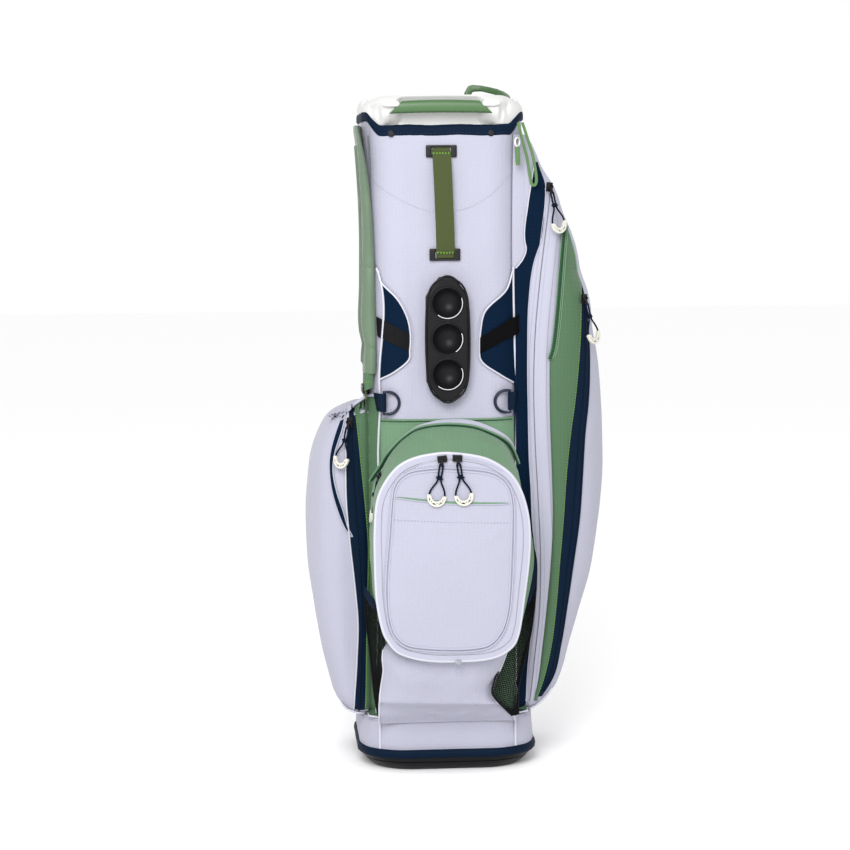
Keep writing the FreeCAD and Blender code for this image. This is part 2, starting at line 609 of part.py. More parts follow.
# name: pin, turn, lean and tilt of the pull, slider's angle along its zip
PULLS = {
    "front_left": ((FRONT_LEFT[0], FRONT_PIN_Y, FRONT_LEFT[1]), 0, 0, 9, -96.5),
    "front_right": ((FRONT_RIGHT[0], FRONT_PIN_Y, FRONT_RIGHT[1]), 0, 0, -9, 92.6),
    "ball_pocket": ((-97.0, -144.0, 412.0), -90, 9, 4, 25),
    "left_pocket": (pin_on_tape(-133.6, 482, 0, -42), -42, 9, 8, 1),
    "apparel": (pin_on_tape(142.5, 797, 0, 32), 32, 6, -11, 7),
    "accessory": (pin_on_tape(189.0, 645, FACET, 42), 42, 6, -12, 5),
}


def build_pulls():
    for name, (pin, turn, lean, tilt, along) in PULLS.items():
        slider = slider_solids(along, tilt)
        slider.Placement = placement(pin, turn, 0, 0)
        save(name + "_slider", slider)
        hardware = pull_hardware()
        for solid in hardware:
            solid.Placement = placement(pin, turn, lean, tilt)
        save(name + "_pull", hardware)
        cord = cord_solid(PULL_ROUTE, name)
        cord.Placement = placement(pin, turn, lean, tilt)
        save(name + "_pull_cord", cord)


# ---------------------------------------------------------------- shoulder strap, accessories
def build_strap():
    pad = prism_xy([(STRAP_X0, STRAP_Y0), (STRAP_X0, STRAP_Y1), (STRAP_X1, STRAP_Y1 - 6),
                    (STRAP_X1, STRAP_Y0 + 4)], STRAP_Z0, STRAP_Z1)
    save("strap_pad", pad)
    save("strap_webbing", block(-108.5, -111, -87, -49, 511, STRAP_Z0))
    ring = block(-106.2, -113.5, -91, -45, 519, 530).cut(block(-108, -111.5, -88, -48, 518, 531))
    save("strap_adjuster", ring)


def build_accessories():
    loop = hexahedron([(118, -110, 798), (128, -110, 798), (128, -107.5, 798), (118, -107.5, 798)],
                      [(105, -110, 866), (112, -110, 866), (112, -107.5, 866), (105, -107.5, 866)])
    keeper = rod((RING_X, RING_Y - 3, RING_PIN_Z), (RING_X, -91, RING_PIN_Z), RING_PIN_R)
    save("accessory_loop", [loop, keeper])
    ring = Part.makeTorus(RING_R, RING_WIRE, V(RING_X, RING_Y, RING_Z), V(0, 1, 0))
    tab = block(RING_X - 3, RING_X + 3, RING_Y - 0.8, RING_Y + 0.8, 828, RING_Z - RING_R - RING_WIRE + 0.1)
    save("accessory_ring", ring.fuse(tab))


build_base()
build_panels()
build_inside()
build_collar()
build_silo()
build_lift_handle()
build_d_rings()
build_cart_straps()
build_front_pocket()
build_mesh_pockets()
build_left_side()
build_right_side()
build_zip_tapes()
build_pulls()
build_strap()
build_accessories()
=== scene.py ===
"""Looks of a golf cart bag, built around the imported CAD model.

Outlines and offsets are in millimetres and are scaled to metres where meshes are made.
The frame is the CAD's: +Z up, -Y the front of the bag, +X its right.
"""

import bpy
import bmesh
import math
import numpy as np
from mathutils import Matrix, Quaternion, Vector, noise
from mathutils.bvhtree import BVHTree


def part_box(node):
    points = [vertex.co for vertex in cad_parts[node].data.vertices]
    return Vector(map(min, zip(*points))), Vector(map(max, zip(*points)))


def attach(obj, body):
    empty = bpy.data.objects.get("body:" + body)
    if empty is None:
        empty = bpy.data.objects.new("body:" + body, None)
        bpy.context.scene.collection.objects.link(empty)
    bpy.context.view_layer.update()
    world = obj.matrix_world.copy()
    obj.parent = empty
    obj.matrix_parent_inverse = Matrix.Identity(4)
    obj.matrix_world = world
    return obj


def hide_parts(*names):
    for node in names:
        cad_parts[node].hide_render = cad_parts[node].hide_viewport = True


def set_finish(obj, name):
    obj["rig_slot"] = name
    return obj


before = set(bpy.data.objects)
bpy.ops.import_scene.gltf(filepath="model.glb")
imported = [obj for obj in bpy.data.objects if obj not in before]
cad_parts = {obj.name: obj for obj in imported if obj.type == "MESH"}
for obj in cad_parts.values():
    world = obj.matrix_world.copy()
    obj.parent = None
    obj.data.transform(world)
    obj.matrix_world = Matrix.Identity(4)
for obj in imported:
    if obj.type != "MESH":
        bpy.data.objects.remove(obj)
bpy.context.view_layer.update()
scene = bpy.context.scene
MM = 0.001


# ---------------------------------------------------------------- camera
def make_camera():
    data = bpy.data.cameras.new("camera")
    data.lens, data.sensor_width = 100.0, 36.0
    camera = bpy.data.objects.new("camera", data)
    scene.collection.objects.link(camera)
    camera.location = (-0.259, -3.290, 0.800)
    look = Vector((-0.022, 0.0, 0.466)) - camera.location
    roll = Quaternion((0, 0, 1), math.radians(-0.5))
    camera.rotation_mode = "QUATERNION"
    camera.rotation_quaternion = look.to_track_quat("-Z", "Y") @ roll
    scene.camera = camera


make_camera()


# ---------------------------------------------------------------- node materials
class Graph:
    """Short calls for the node types used here."""

    def __init__(self, name):
        self.material = bpy.data.materials.new(name)
        self.material.use_nodes = True
        self.tree = self.material.node_tree
        self.bsdf = self.tree.nodes["Principled BSDF"]

    def set(self, node, socket, value):
        if hasattr(value, "is_output"):
            self.tree.links.new(value, node.inputs[socket])
        elif value is not None:
            node.inputs[socket].default_value = value

    def node(self, kind, **settings):
        node = self.tree.nodes.new("ShaderNode" + kind)
        for key, value in settings.items():
            setattr(node, key, value)
        return node

    def math(self, operation, a, b=None, clamp=False):
        node = self.node("Math", operation=operation, use_clamp=clamp)
        self.set(node, 0, a)
        self.set(node, 1, b)
        return node.outputs[0]

    def blend(self, factor, a, b):
        """a at factor 0, b at factor 1, for numbers."""
        span = self.math("SUBTRACT", b, a)
        return self.math("ADD", a, self.math("MULTIPLY", factor, span))

    def colour(self, factor, a, b):
        node = self.node("Mix", data_type="RGBA")
        self.set(node, 0, factor)
        self.set(node, 6, a)
        self.set(node, 7, b)
        return node.outputs[2]

    def noise(self, vector, scale, detail=3.0, rough=0.5):
        node = self.node("TexNoise")
        self.set(node, "Vector", vector)
        self.set(node, "Scale", scale)
        self.set(node, "Detail", detail)
        self.set(node, "Roughness", rough)
        return node.outputs["Fac"]

    def bump(self, height, distance, strength=1.0):
        node = self.node("Bump")
        self.set(node, "Height", height)
        self.set(node, "Distance", distance)
        self.set(node, "Strength", strength)
        self.set(self.bsdf, "Normal", node.outputs["Normal"])

    def flat_coordinates(self):
        """Two coordinates in metres that run along the surface, whichever way it faces."""
        place = self.node("TexCoord")
        point, normal = self.node("SeparateXYZ"), self.node("SeparateXYZ")
        self.set(point, 0, place.outputs["Object"])
        self.set(normal, 0, place.outputs["Normal"])
        nx, ny, nz = (self.math("ABSOLUTE", normal.outputs[i]) for i in range(3))
        sideways = self.math("GREATER_THAN", nx, self.math("MAXIMUM", ny, nz))
        upwards = self.math("GREATER_THAN", nz, self.math("MAXIMUM", nx, ny))
        u = self.blend(sideways, point.outputs[0], point.outputs[1])
        v = self.blend(upwards, point.outputs[2], point.outputs[1])
        return place.outputs["Object"], u, v

    def wave(self, value, period):
        return self.math("SINE", self.math("MULTIPLY", value, math.tau / period))

    def finish(self, colours, **settings):
        """Links a colour and sets sockets of the shader, named with _ for a space."""
        self.set(self.bsdf, "Base Color", colours)
        for key, value in settings.items():
            self.set(self.bsdf, key.replace("_", " "), value)


def shade(colour, gain):
    return tuple(min(1.0, c * gain) for c in colour[:3]) + (1.0,)


def tones(g, factor, colour, spread):
    """A colour that runs from darker to lighter by spread as factor runs from 0 to 1."""
    return g.colour(factor, shade(colour, 1 - spread), shade(colour, 1 + spread))


def fabric(name, colour, rib=0.0052, weave=0.0011, rough=0.72, contrast=0.12, sheen=0.15, gloss=0.3):
    """Ripstop: a fine plain weave with a grid of thicker threads."""
    g = Graph(name)
    place, u, v = g.flat_coordinates()
    plain = g.math("MULTIPLY", g.wave(u, weave), g.wave(v, weave))
    across = g.math("POWER", g.math("ABSOLUTE", g.wave(u, rib * 2)), 14.0)
    along = g.math("POWER", g.math("ABSOLUTE", g.wave(v, rib * 2)), 14.0)
    ribs = g.math("MAXIMUM", g.math("MULTIPLY", along, 0.7), across)
    cloud = g.noise(place, 9.0, 4.0)
    fuzz = g.noise(place, 620.0, 2.0)
    tone = g.math("ADD", g.math("MULTIPLY", plain, 0.25), g.math("MULTIPLY", ribs, 0.55))
    tone = g.math("ADD", tone, g.math("MULTIPLY", g.math("SUBTRACT", cloud, 0.5), 1.6))
    tone = g.math("ADD", tone, g.math("MULTIPLY", g.math("SUBTRACT", fuzz, 0.5), 0.7))
    factor = g.math("ADD", g.math("MULTIPLY", tone, 0.5), 0.5, clamp=True)
    g.finish(tones(g, factor, colour, contrast), Roughness=g.blend(ribs, rough, rough - 0.12),
             Sheen_Weight=sheen, Sheen_Roughness=0.4, Specular_IOR_Level=gloss)
    height = g.math("ADD", g.math("MULTIPLY", plain, 0.35), g.math("MULTIPLY", ribs, 0.65))
    height = g.math("ADD", height, g.math("MULTIPLY", fuzz, 0.5))
    g.bump(height, 0.00022, 0.8)
    return g.material


def webbing(name, colour, pitch=0.0019, rough=0.62, depth=0.0004, sheen=0.1, gloss=0.2):
    """Narrow woven tape: diagonal twill rows crossed by picks."""
    g = Graph(name)
    place, u, v = g.flat_coordinates()
    twill = g.wave(g.math("ADD", u, g.math("MULTIPLY", v, 1.6)), pitch)
    picks = g.wave(v, pitch * 0.62)
    fuzz = g.noise(place, 800.0, 3.0)
    height = g.math("ADD", g.math("MULTIPLY", twill, 0.5), g.math("MULTIPLY", picks, 0.3))
    height = g.math("ADD", height, g.math("MULTIPLY", fuzz, 0.5))
    factor = g.math("ADD", g.math("MULTIPLY", height, 0.5), 0.35, clamp=True)
    g.finish(tones(g, factor, colour, 0.3), Roughness=rough, Sheen_Weight=sheen, Specular_IOR_Level=gloss)
    g.bump(height, depth, 0.8)
    return g.material


def zip_tape(name, colour, gloss=0.25):
    """Knitted tape: fine rows that run along the zip."""
    g = Graph(name)
    place, u, v = g.flat_coordinates()
    rows = g.wave(u, 0.0016)
    picks = g.wave(v, 0.0012)
    fuzz = g.noise(place, 500.0)
    height = g.math("ADD", g.math("MULTIPLY", rows, 0.5), g.math("MULTIPLY", picks, 0.25))
    factor = g.math("ADD", g.math("MULTIPLY", g.math("ADD", height, fuzz), 0.3), 0.4, clamp=True)
    g.finish(g.colour(factor, shade(colour, 0.9), shade(colour, 1.08)), Roughness=0.55,
             Specular_IOR_Level=gloss)
    g.bump(height, 0.00018, 0.7)
    return g.material


def moulded(name, colour, rough=0.4, size=900.0, metallic=0.0, coat=0.0, vary=0.06, gloss=0.5):
    """Moulded plastic, rubber, foam or metal with a fine grain and slight wear."""
    g = Graph(name)
    place = g.node("TexCoord").outputs["Object"]
    fine = g.noise(place, size, 3.0)
    wear = g.noise(place, 38.0, 5.0, 0.65)
    worn = g.math("ADD", g.math("MULTIPLY", wear, 0.18), rough - 0.09)
    g.finish(tones(g, wear, colour, vary), Roughness=worn, Metallic=metallic, Coat_Weight=coat,
             Specular_IOR_Level=gloss)
    g.bump(fine, 0.00008, 0.8)
    return g.material


WHITE = (0.352, 0.352, 0.430, 1.0)
GREEN = (0.114, 0.208, 0.122, 1.0)
NAVY = (0.0018, 0.0085, 0.0230, 1.0)
OLIVE = (0.052, 0.068, 0.018, 1.0)
BLACK = (0.006, 0.006, 0.007, 1.0)
MATERIALS = {
    "white_fabric": fabric("white_fabric", WHITE, contrast=0.05),
    "green_fabric": fabric("green_fabric", GREEN, contrast=0.13),
    # painted shade: a darker copy of green_fabric for green panels that face sideways or lie in shade; it
    # shares green_fabric's slot
    "green_fabric_painted_shade": fabric("green_fabric_painted_shade", (0.056, 0.118, 0.058, 1.0), contrast=0.13),
    "navy_fabric": fabric("navy_fabric", NAVY, contrast=0.25, sheen=0.0, gloss=0.03),
    "white_tape": zip_tape("white_tape", shade(WHITE, 1.04)),
    "navy_tape": zip_tape("navy_tape", NAVY, gloss=0.06),
    "green_tape": zip_tape("green_tape", (0.010, 0.045, 0.025, 1.0), gloss=0.1),
    "black_mesh": webbing("black_mesh", BLACK, pitch=0.001, sheen=0.0, gloss=0.1),
    "collar_plastic": moulded("collar_plastic", (0.55, 0.55, 0.54, 1.0), 0.36, coat=0.1, vary=0.02),
    "green_rubber": moulded("green_rubber", (0.044, 0.108, 0.034, 1.0), 0.42, size=700, vary=0.07),
    "black_rubber": moulded("black_rubber", BLACK, 0.40, size=600, gloss=0.14),
    "black_plastic": moulded("black_plastic", BLACK, 0.34, gloss=0.25),
    "olive_webbing": webbing("olive_webbing", OLIVE),
    "black_webbing": webbing("black_webbing", BLACK, sheen=0.0, gloss=0.1),
    "green_webbing": webbing("green_webbing", (0.095, 0.190, 0.070, 1.0)),
    "white_plastic": moulded("white_plastic", (0.60, 0.60, 0.62, 1.0), 0.35, vary=0.03),
    "navy_plastic": moulded("navy_plastic", (0.005, 0.010, 0.026, 1.0), 0.36, gloss=0.3),
    "strap_foam": fabric("strap_foam", (0.100, 0.150, 0.098, 1.0), rib=0.012, weave=0.0016, rough=0.5,
                         contrast=0.06),
    "grid_plastic": fabric("grid_plastic", shade(NAVY, 1.3), contrast=0.2, sheen=0.0, gloss=0.1),
    "stay_metal": moulded("stay_metal", (0.351533, 0.361307, 0.376262, 1.0), 0.35, metallic=1.0),
    "slider_metal": moulded("slider_metal", (0.008, 0.008, 0.009, 1.0), 0.3, metallic=0.6),
    "pull_plastic": moulded("pull_plastic", (0.56, 0.545, 0.485, 1.0), 0.42, vary=0.04),
    "cord_navy": webbing("cord_navy", NAVY, pitch=0.0009, sheen=0.0, gloss=0.1),
    "thread_white": webbing("thread_white", (0.36, 0.355, 0.42, 1.0), pitch=0.0006),
    "thread_grey": webbing("thread_grey", (0.22, 0.22, 0.26, 1.0), pitch=0.0006),
    "thread_lime": webbing("thread_lime", (0.20, 0.46, 0.040, 1.0), pitch=0.0006),
    "thread_blue": webbing("thread_blue", (0.014, 0.040, 0.100, 1.0), pitch=0.0006),
    "white_piping": moulded("white_piping", (0.47, 0.47, 0.53, 1.0), 0.32, size=1500, vary=0.02),
    "fleece": webbing("fleece", (0.004, 0.004, 0.0045, 1.0), pitch=0.004, depth=0.0012, rough=0.95, sheen=0.0,
                      gloss=0.05),
}
# Finishes that the record has no slot for take the nearest one.
SLOTS = {"green_tape": "green_fabric", "thread_white": "white_tape", "thread_lime": "green_webbing",
         "thread_blue": "navy_tape", "white_piping": "white_tape", "fleece": "black_webbing",
         "thread_grey": "white_tape", "green_fabric_painted_shade": "green_fabric"}


# ---------------------------------------------------------------- mesh helpers
def add(obj, material, body="root", nodes=()):
    """Put a finished object in the scene, on its body."""
    scene.collection.objects.link(obj)
    obj.data.materials.append(MATERIALS[material])
    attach(obj, body)
    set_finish(obj, SLOTS.get(material, material))
    if nodes:
        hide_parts(*nodes)
    return obj


def mesh_piece(name, points, faces, material, body="root", nodes=()):
    mesh = bpy.data.meshes.new(name)
    mesh.from_pydata([Vector(p) * MM for p in points], [], faces)
    tidy = bmesh.new()
    tidy.from_mesh(mesh)
    bmesh.ops.remove_doubles(tidy, verts=tidy.verts, dist=0.00002)
    bmesh.ops.dissolve_degenerate(tidy, edges=tidy.edges, dist=0.00001)
    bmesh.ops.recalc_face_normals(tidy, faces=tidy.faces)
    tidy.to_mesh(mesh)
    tidy.free()
    mesh.shade_smooth()
    mesh.set_sharp_from_angle(angle=math.radians(50))
    return add(bpy.data.objects.new(name, mesh), material, body, nodes)


def soften(obj, rounds):
    mod = obj.modifiers.new("soften", "SMOOTH")
    mod.factor, mod.iterations = 0.5, rounds


def subdivide(obj):
    mod = obj.modifiers.new("subdivide", "SUBSURF")
    mod.levels = mod.render_levels = 1


def melt(obj, voxel, rounds):
    """Runs a hard-edged part together and rounds its edges, as a moulding's are."""
    mod = obj.modifiers.new("remesh", "REMESH")
    mod.mode, mod.voxel_size = "VOXEL", voxel * MM
    mod.use_smooth_shade = True
    soften(obj, rounds)
    return obj


def grid_faces(rows, columns, closed=False, start=0):
    """Quads of a grid stored row by row; closed joins the last column to the first."""
    faces = []
    for i in range(rows - 1):
        for j in range(columns if closed else columns - 1):
            k = (j + 1) % columns
            a, b = start + i * columns, start + (i + 1) * columns
            faces.append((a + j, a + k, b + k, b + j))
    return faces


def slab(name, rows, inward, material, body="root", nodes=()):
    """A sheet with thickness: a grid of outer points, and the same grid moved inward.

    inward is one vector, or a grid of them."""
    count_r, count_c = len(rows), len(rows[0])
    outer = [Vector(p) for row in rows for p in row]
    if isinstance(inward, (tuple, Vector)):
        inner = [p + Vector(inward) for p in outer]
    else:
        inner = [p + Vector(d) for p, d in zip(outer, [d for row in inward for d in row])]
    n = len(outer)
    faces = grid_faces(count_r, count_c)
    faces += [tuple(reversed(f)) for f in grid_faces(count_r, count_c, start=n)]
    rim = [(0, j) for j in range(count_c)]
    rim += [(i, count_c - 1) for i in range(1, count_r)]
    rim += [(count_r - 1, j) for j in range(count_c - 2, -1, -1)]
    rim += [(i, 0) for i in range(count_r - 2, 0, -1)]
    ids = [i * count_c + j for i, j in rim]
    faces += [(ids[k - 1], ids[k], n + ids[k], n + ids[k - 1]) for k in range(len(ids))]
    return mesh_piece(name, outer + inner, faces, material, body, nodes)


def loft(name, loops, material, body="root", nodes=(), caps=True):
    """A closed skin through closed loops of equal count."""
    count = len(loops[0])
    points = [p for loop in loops for p in loop]
    faces = grid_faces(len(loops), count, closed=True)
    if caps:
        for first in (0, len(loops) - 1):
            ring = [first * count + j for j in range(count)]
            points.append(sum((Vector(points[k]) for k in ring), Vector()) / count)
            faces += [(ring[j - 1], ring[j], len(points) - 1) for j in range(count)]
    return mesh_piece(name, points, faces, material, body, nodes)


def tube(name, lines, radius, material, body="root", closed=False, nodes=()):
    """Piping or thread along one or more lines of points."""
    data = bpy.data.curves.new(name, "CURVE")
    data.dimensions = "3D"
    data.bevel_depth = radius * MM
    data.bevel_resolution = 3
    data.use_fill_caps = True
    for points in lines:
        spline = data.splines.new("POLY")
        spline.points.add(len(points) - 1)
        for target, p in zip(spline.points, points):
            target.co = (*(Vector(p) * MM), 1.0)
        spline.use_cyclic_u = closed
    return add(bpy.data.objects.new(name, data), material, body, nodes)


def resample(points, step=None, count=None, closed=False):
    """Points at equal distances along a line."""
    line = np.array([tuple(p) for p in points] + ([tuple(points[0])] if closed else []), float)
    run = np.concatenate([[0], np.cumsum(np.linalg.norm(np.diff(line, axis=0), axis=1))])
    count = count or max(2, int(round(run[-1] / step)) + 1)
    at = np.linspace(0, run[-1], count + 1)[:-1] if closed else np.linspace(0, run[-1], count)
    return [tuple(float(np.interp(t, run, line[:, k])) for k in range(line.shape[1])) for t in at]


def smooth_line(points, closed=False, steps=8):
    """A Catmull-Rom curve through points of any dimension."""
    pts = [np.array(p, float) for p in points]
    n = len(pts)
    made = []
    for i in range(n if closed else n - 1):
        p0 = pts[i - 1] if closed or i > 0 else 2 * pts[0] - pts[1]
        p1, p2 = pts[i], pts[(i + 1) % n]
        p3 = pts[(i + 2) % n] if closed or i + 2 < n else 2 * pts[-1] - pts[-2]
        for k in range(steps):
            t = k / steps
            made.append(0.5 * (2 * p1 + (p2 - p0) * t + (2 * p0 - 5 * p1 + 4 * p2 - p3) * t * t
                               + (3 * p1 - p0 - 3 * p2 + p3) * t ** 3))
    if not closed:
        made.append(pts[-1])
    return [tuple(float(c) for c in p) for p in made]


def along(points):
    """x as a smooth function of z through (x, z) points."""
    points = sorted(points, key=lambda p: p[1])
    z, x = np.array([p[1] for p in points], float), np.array([p[0] for p in points], float)
    slope = np.gradient(x, z)

    def at(q):
        q = min(max(q, z[0]), z[-1])
        i = int(min(np.searchsorted(z, q, side="right") - 1, len(z) - 2))
        h = z[i + 1] - z[i]
        t = (q - z[i]) / h
        return float((2 * t ** 3 - 3 * t * t + 1) * x[i] + (t ** 3 - 2 * t * t + t) * h * slope[i]
                     + (3 * t * t - 2 * t ** 3) * x[i + 1] + (t ** 3 - t * t) * h * slope[i + 1])
    return at


def stitches(name, lines, material, body="root", length=3.0, gap=1.6, radius=0.45):
    """Rows of single stitches on cloth that faces the front, each a small spindle."""
    points, faces = [], []
    for line in lines:
        marks = resample(line, step=length + gap)
        for a, b in zip(marks, marks[1:]):
            a, b = Vector(a), Vector(b)
            run = (b - a).normalized()
            side = run.cross(Vector((0, -1, 0))).normalized() * radius
            up = side.cross(run).normalized() * radius
            mid = a + run * length / 2
            first = len(points)
            points += [a, a + run * length, mid + side, mid + up, mid - side, mid - up]
            for k in range(4):
                c, d = first + 2 + k, first + 2 + (k + 1) % 4
                faces += [(first, c, d), (first + 1, d, c)]
    return mesh_piece(name, points, faces, material, body)


def step(low, high, value):
    """Smooth rise from 0 at low to 1 at high."""
    t = min(max((value - low) / (high - low), 0.0), 1.0)
    return t * t * (3 - 2 * t)


def folds(x, y, z, seed, amount=1.0, size=(60, 60, 90)):
    """Soft wrinkles of slack cloth."""
    p = Vector((x / size[0] + seed, y / size[1], z / size[2]))
    return amount * (noise.noise(p) + 0.45 * noise.noise(p * 2.3) + 0.2 * noise.noise(p * 5.1))


def outward(x, z, middle):
    """Unit vector from a middle to (x, z)."""
    return Vector((x - middle[0], z - middle[1])).normalized()


def crease(x, z, ax, az, bx, bz, width, depth):
    """A ridge along the line a-b, fading at both ends."""
    run = Vector((bx - ax, bz - az))
    t = ((x - ax) * run.x + (z - az) * run.y) / run.length_squared
    if not -0.1 < t < 1.1:
        return 0.0
    far = abs((x - ax) * run.y - (z - az) * run.x) / run.length
    return depth * math.exp(-(far / width) ** 2) * math.sin(math.pi * min(max((t + 0.1) / 1.2, 0), 1))


def creases(x, z, lines):
    return sum(crease(x, z, *line) for line in lines)


# ---------------------------------------------------------------- zip pulls: the cords come first
CORD_D = 0.0024
BEAD_Z = -25.0          # the knot under the slider, in mm below its pin
# Points of a pull's cord in metres, (across, up) from the slider's pin.
PULL_ROUTE = [(-.0107, -.0500), (-.0102, -.0445), (-.0068, -.0375), (-.0027, -.0310), (-.0016, -.0250),
              (-.0023, -.0190), (-.0022, -.0125), (-.0027, -.0070), (.0027, -.0070), (.0023, -.0125),
              (.0024, -.0190), (.0016, -.0250), (.0029, -.0310), (.0070, -.0375), (.0102, -.0445),
              (.0107, -.0500)]
# pin in mm; turn, lean and tilt of the pull in degrees; the slider's angle along its zip
PULLS = {
    "front_left": ((-14.38, -207.8, 441.18), 0, 0, 9, -96.5),
    "front_right": ((5.76, -207.8, 441.87), 0, 0, -9, 92.6),
    "ball_pocket": ((-97.0, -144.0, 412.0), -90, 9, 4, 25),
    "left_pocket": ((-133.6, -108.08, 482.0), -42, 9, 8, 1),
    "apparel": ((142.5, -112.79, 797.0), 32, 6, -11, 7),
    "accessory": ((192.98, -89.66, 645.0), 42, 6, -12, 5),
}


def pull_matrix(pin, turn, lean, tilt):
    spin = Matrix.Rotation(math.radians(turn), 4, "Z")
    spin = spin @ Matrix.Rotation(math.radians(-lean), 4, "X") @ Matrix.Rotation(math.radians(tilt), 4, "Y")
    return Matrix.Translation(Vector(pin) * MM) @ spin


def make_cord(name, pin, turn, lean, tilt):
    place = pull_matrix(pin, turn, lean, tilt)
    points = [place @ Vector((u, 0, v)) for u, v in PULL_ROUTE]
    data = bpy.data.curves.new(name + "_cord", "CURVE")
    data.dimensions = "3D"
    spline = data.splines.new("NURBS")
    spline.points.add(len(points) - 1)
    for target, p in zip(spline.points, points):
        target.co = (*p, 1.0)
    spline.order_u = 3
    spline.use_endpoint_u = True
    spline.resolution_u = 8
    data.bevel_depth = CORD_D / 2
    data.bevel_resolution = 4
    data.use_fill_caps = True
    cord = bpy.data.objects.new(name + "_cord", data)
    return add(cord, "cord_navy", "pull_" + name, [name + "_pull_cord"]), points[0]


def rigid(name, build, matrix, material, body, nodes=(), bevel=0.0):
    """A small hard part drawn by build(bmesh) in mm about its own origin, then placed."""
    bm = bmesh.new()
    build(bm)
    bmesh.ops.recalc_face_normals(bm, faces=bm.faces)
    mesh = bpy.data.meshes.new(name)
    bm.to_mesh(mesh)
    bm.free()
    mesh.transform(matrix @ Matrix.Scale(MM, 4))
    obj = bpy.data.objects.new(name, mesh)
    add(obj, material, body, nodes)
    if bevel:
        mod = obj.modifiers.new("bevel", "BEVEL")
        mod.width, mod.segments, mod.limit_method = bevel * MM, 3, "ANGLE"
    mesh.shade_smooth()
    mesh.set_sharp_from_angle(angle=math.radians(40))
    return obj


def box_into(bm, x0, x1, y0, y1, z0, z1, turn=None):
    made = bmesh.ops.create_cube(bm, size=1.0)["verts"]
    for v in made:
        v.co = Vector(((x0, x1)[v.co.x > 0], (y0, y1)[v.co.y > 0], (z0, z1)[v.co.z > 0]))
        if turn:
            v.co = turn @ v.co


def torus_into(bm, centre, radius, wire, axis, steps, sides):
    """A ring of round wire about the Y or the Z axis."""
    rings = []
    up = Vector((0, 1, 0)) if axis == "Y" else Vector((0, 0, 1))
    for i in range(steps):
        a = math.radians(360 * i / steps)
        out = Vector((math.cos(a), 0, math.sin(a))) if axis == "Y" else Vector((math.cos(a), math.sin(a), 0))
        ring = []
        for k in range(sides):
            b = math.tau * k / sides
            p = Vector(centre) + out * (radius + wire * math.cos(b)) + up * (wire * math.sin(b))
            ring.append(bm.verts.new(p))
        rings.append(ring)
    for i in range(steps):
        a, b = rings[i], rings[(i + 1) % steps]
        for k in range(sides):
            bm.faces.new((a[k], a[(k + 1) % sides], b[(k + 1) % sides], b[k]))


# the grip's centre below the pin, its inner and outer radius, and half its thickness
GRIP_MID, GRIP_IN, GRIP_OUT, GRIP_HALF = -49.5, 7.0, 14.3, 2.3
GRIP_CELLS, GRIP_BRACE = 7, 0.9     # windows of the truss, and half the width of a brace


def grip_into(bm):
    """U-shaped grip with a truss of triangular windows between two rims."""
    rims = ((GRIP_HALF, GRIP_HALF, GRIP_IN, GRIP_IN + 2.3),
            (GRIP_HALF, GRIP_HALF - 0.8, GRIP_OUT - 2.6, GRIP_OUT))
    for half_in, half_out, r_in, r_out in rims:
        rings = []
        for i in range(33):
            a = math.radians(180 + 180 * i / 32)
            taper = 0.72 + 0.28 * math.sin(a + math.pi)
            d = Vector((math.cos(a), 0, math.sin(a)))
            ring = []
            for r, y in ((r_in, half_in), (r_out, half_out), (r_out, -half_out), (r_in, -half_in)):
                r = GRIP_IN + 1.0 + (r - GRIP_IN - 1.0) * taper
                ring.append(bm.verts.new(Vector((0, y, GRIP_MID)) + d * r))
            rings.append(ring)
        for a, b in zip(rings, rings[1:]):
            for k in range(4):
                bm.faces.new((a[k], a[(k + 1) % 4], b[(k + 1) % 4], b[k]))
        bm.faces.new(rings[0])
        bm.faces.new(list(reversed(rings[-1])))
    for i in range(GRIP_CELLS):
        a0 = math.radians(184 + 172 * i / GRIP_CELLS)
        a1 = math.radians(184 + 172 * (i + 1) / GRIP_CELLS)
        near, far = (GRIP_IN + 1.6, GRIP_OUT - 2.4) if i % 2 else (GRIP_OUT - 2.4, GRIP_IN + 1.6)
        p = Vector((math.cos(a0) * near, 0, math.sin(a0) * near + GRIP_MID))
        q = Vector((math.cos(a1) * far, 0, math.sin(a1) * far + GRIP_MID))
        side = (q - p).cross(Vector((0, 1, 0))).normalized() * GRIP_BRACE
        corners = [p - side, p + side, q + side, q - side]
        low = [bm.verts.new(c + Vector((0, -GRIP_HALF + 0.7, 0))) for c in corners]
        high = [bm.verts.new(c + Vector((0, GRIP_HALF - 0.7, 0))) for c in corners]
        bm.faces.new(low)
        bm.faces.new(list(reversed(high)))
        for k in range(4):
            bm.faces.new((low[k], low[(k + 1) % 4], high[(k + 1) % 4], high[k]))
    for side in (-1, 1):
        torus_into(bm, (side * 10.6, 0, GRIP_MID + 0.6), 1.5, 0.9, "Z", steps=16, sides=8)
        box_into(bm, side * 10.6 - 2.3, side * 10.6 + 2.3, -2.0, 2.0, GRIP_MID - 2.5, GRIP_MID + 0.3)


def bead_into(bm):
    """A knot: three stacked wraps with two short tails."""
    for k in (-1, 0, 1):
        torus_into(bm, (0, 0, BEAD_Z + 1.5 * k), 2.5, 1.25, "Z", steps=20, sides=8)
    for side in (-1, 1):
        box_into(bm, side * 2.2, side * 5.2, -0.8, 0.8, BEAD_Z - 1.0 - side * 0.8, BEAD_Z + 0.6 - side * 0.8)


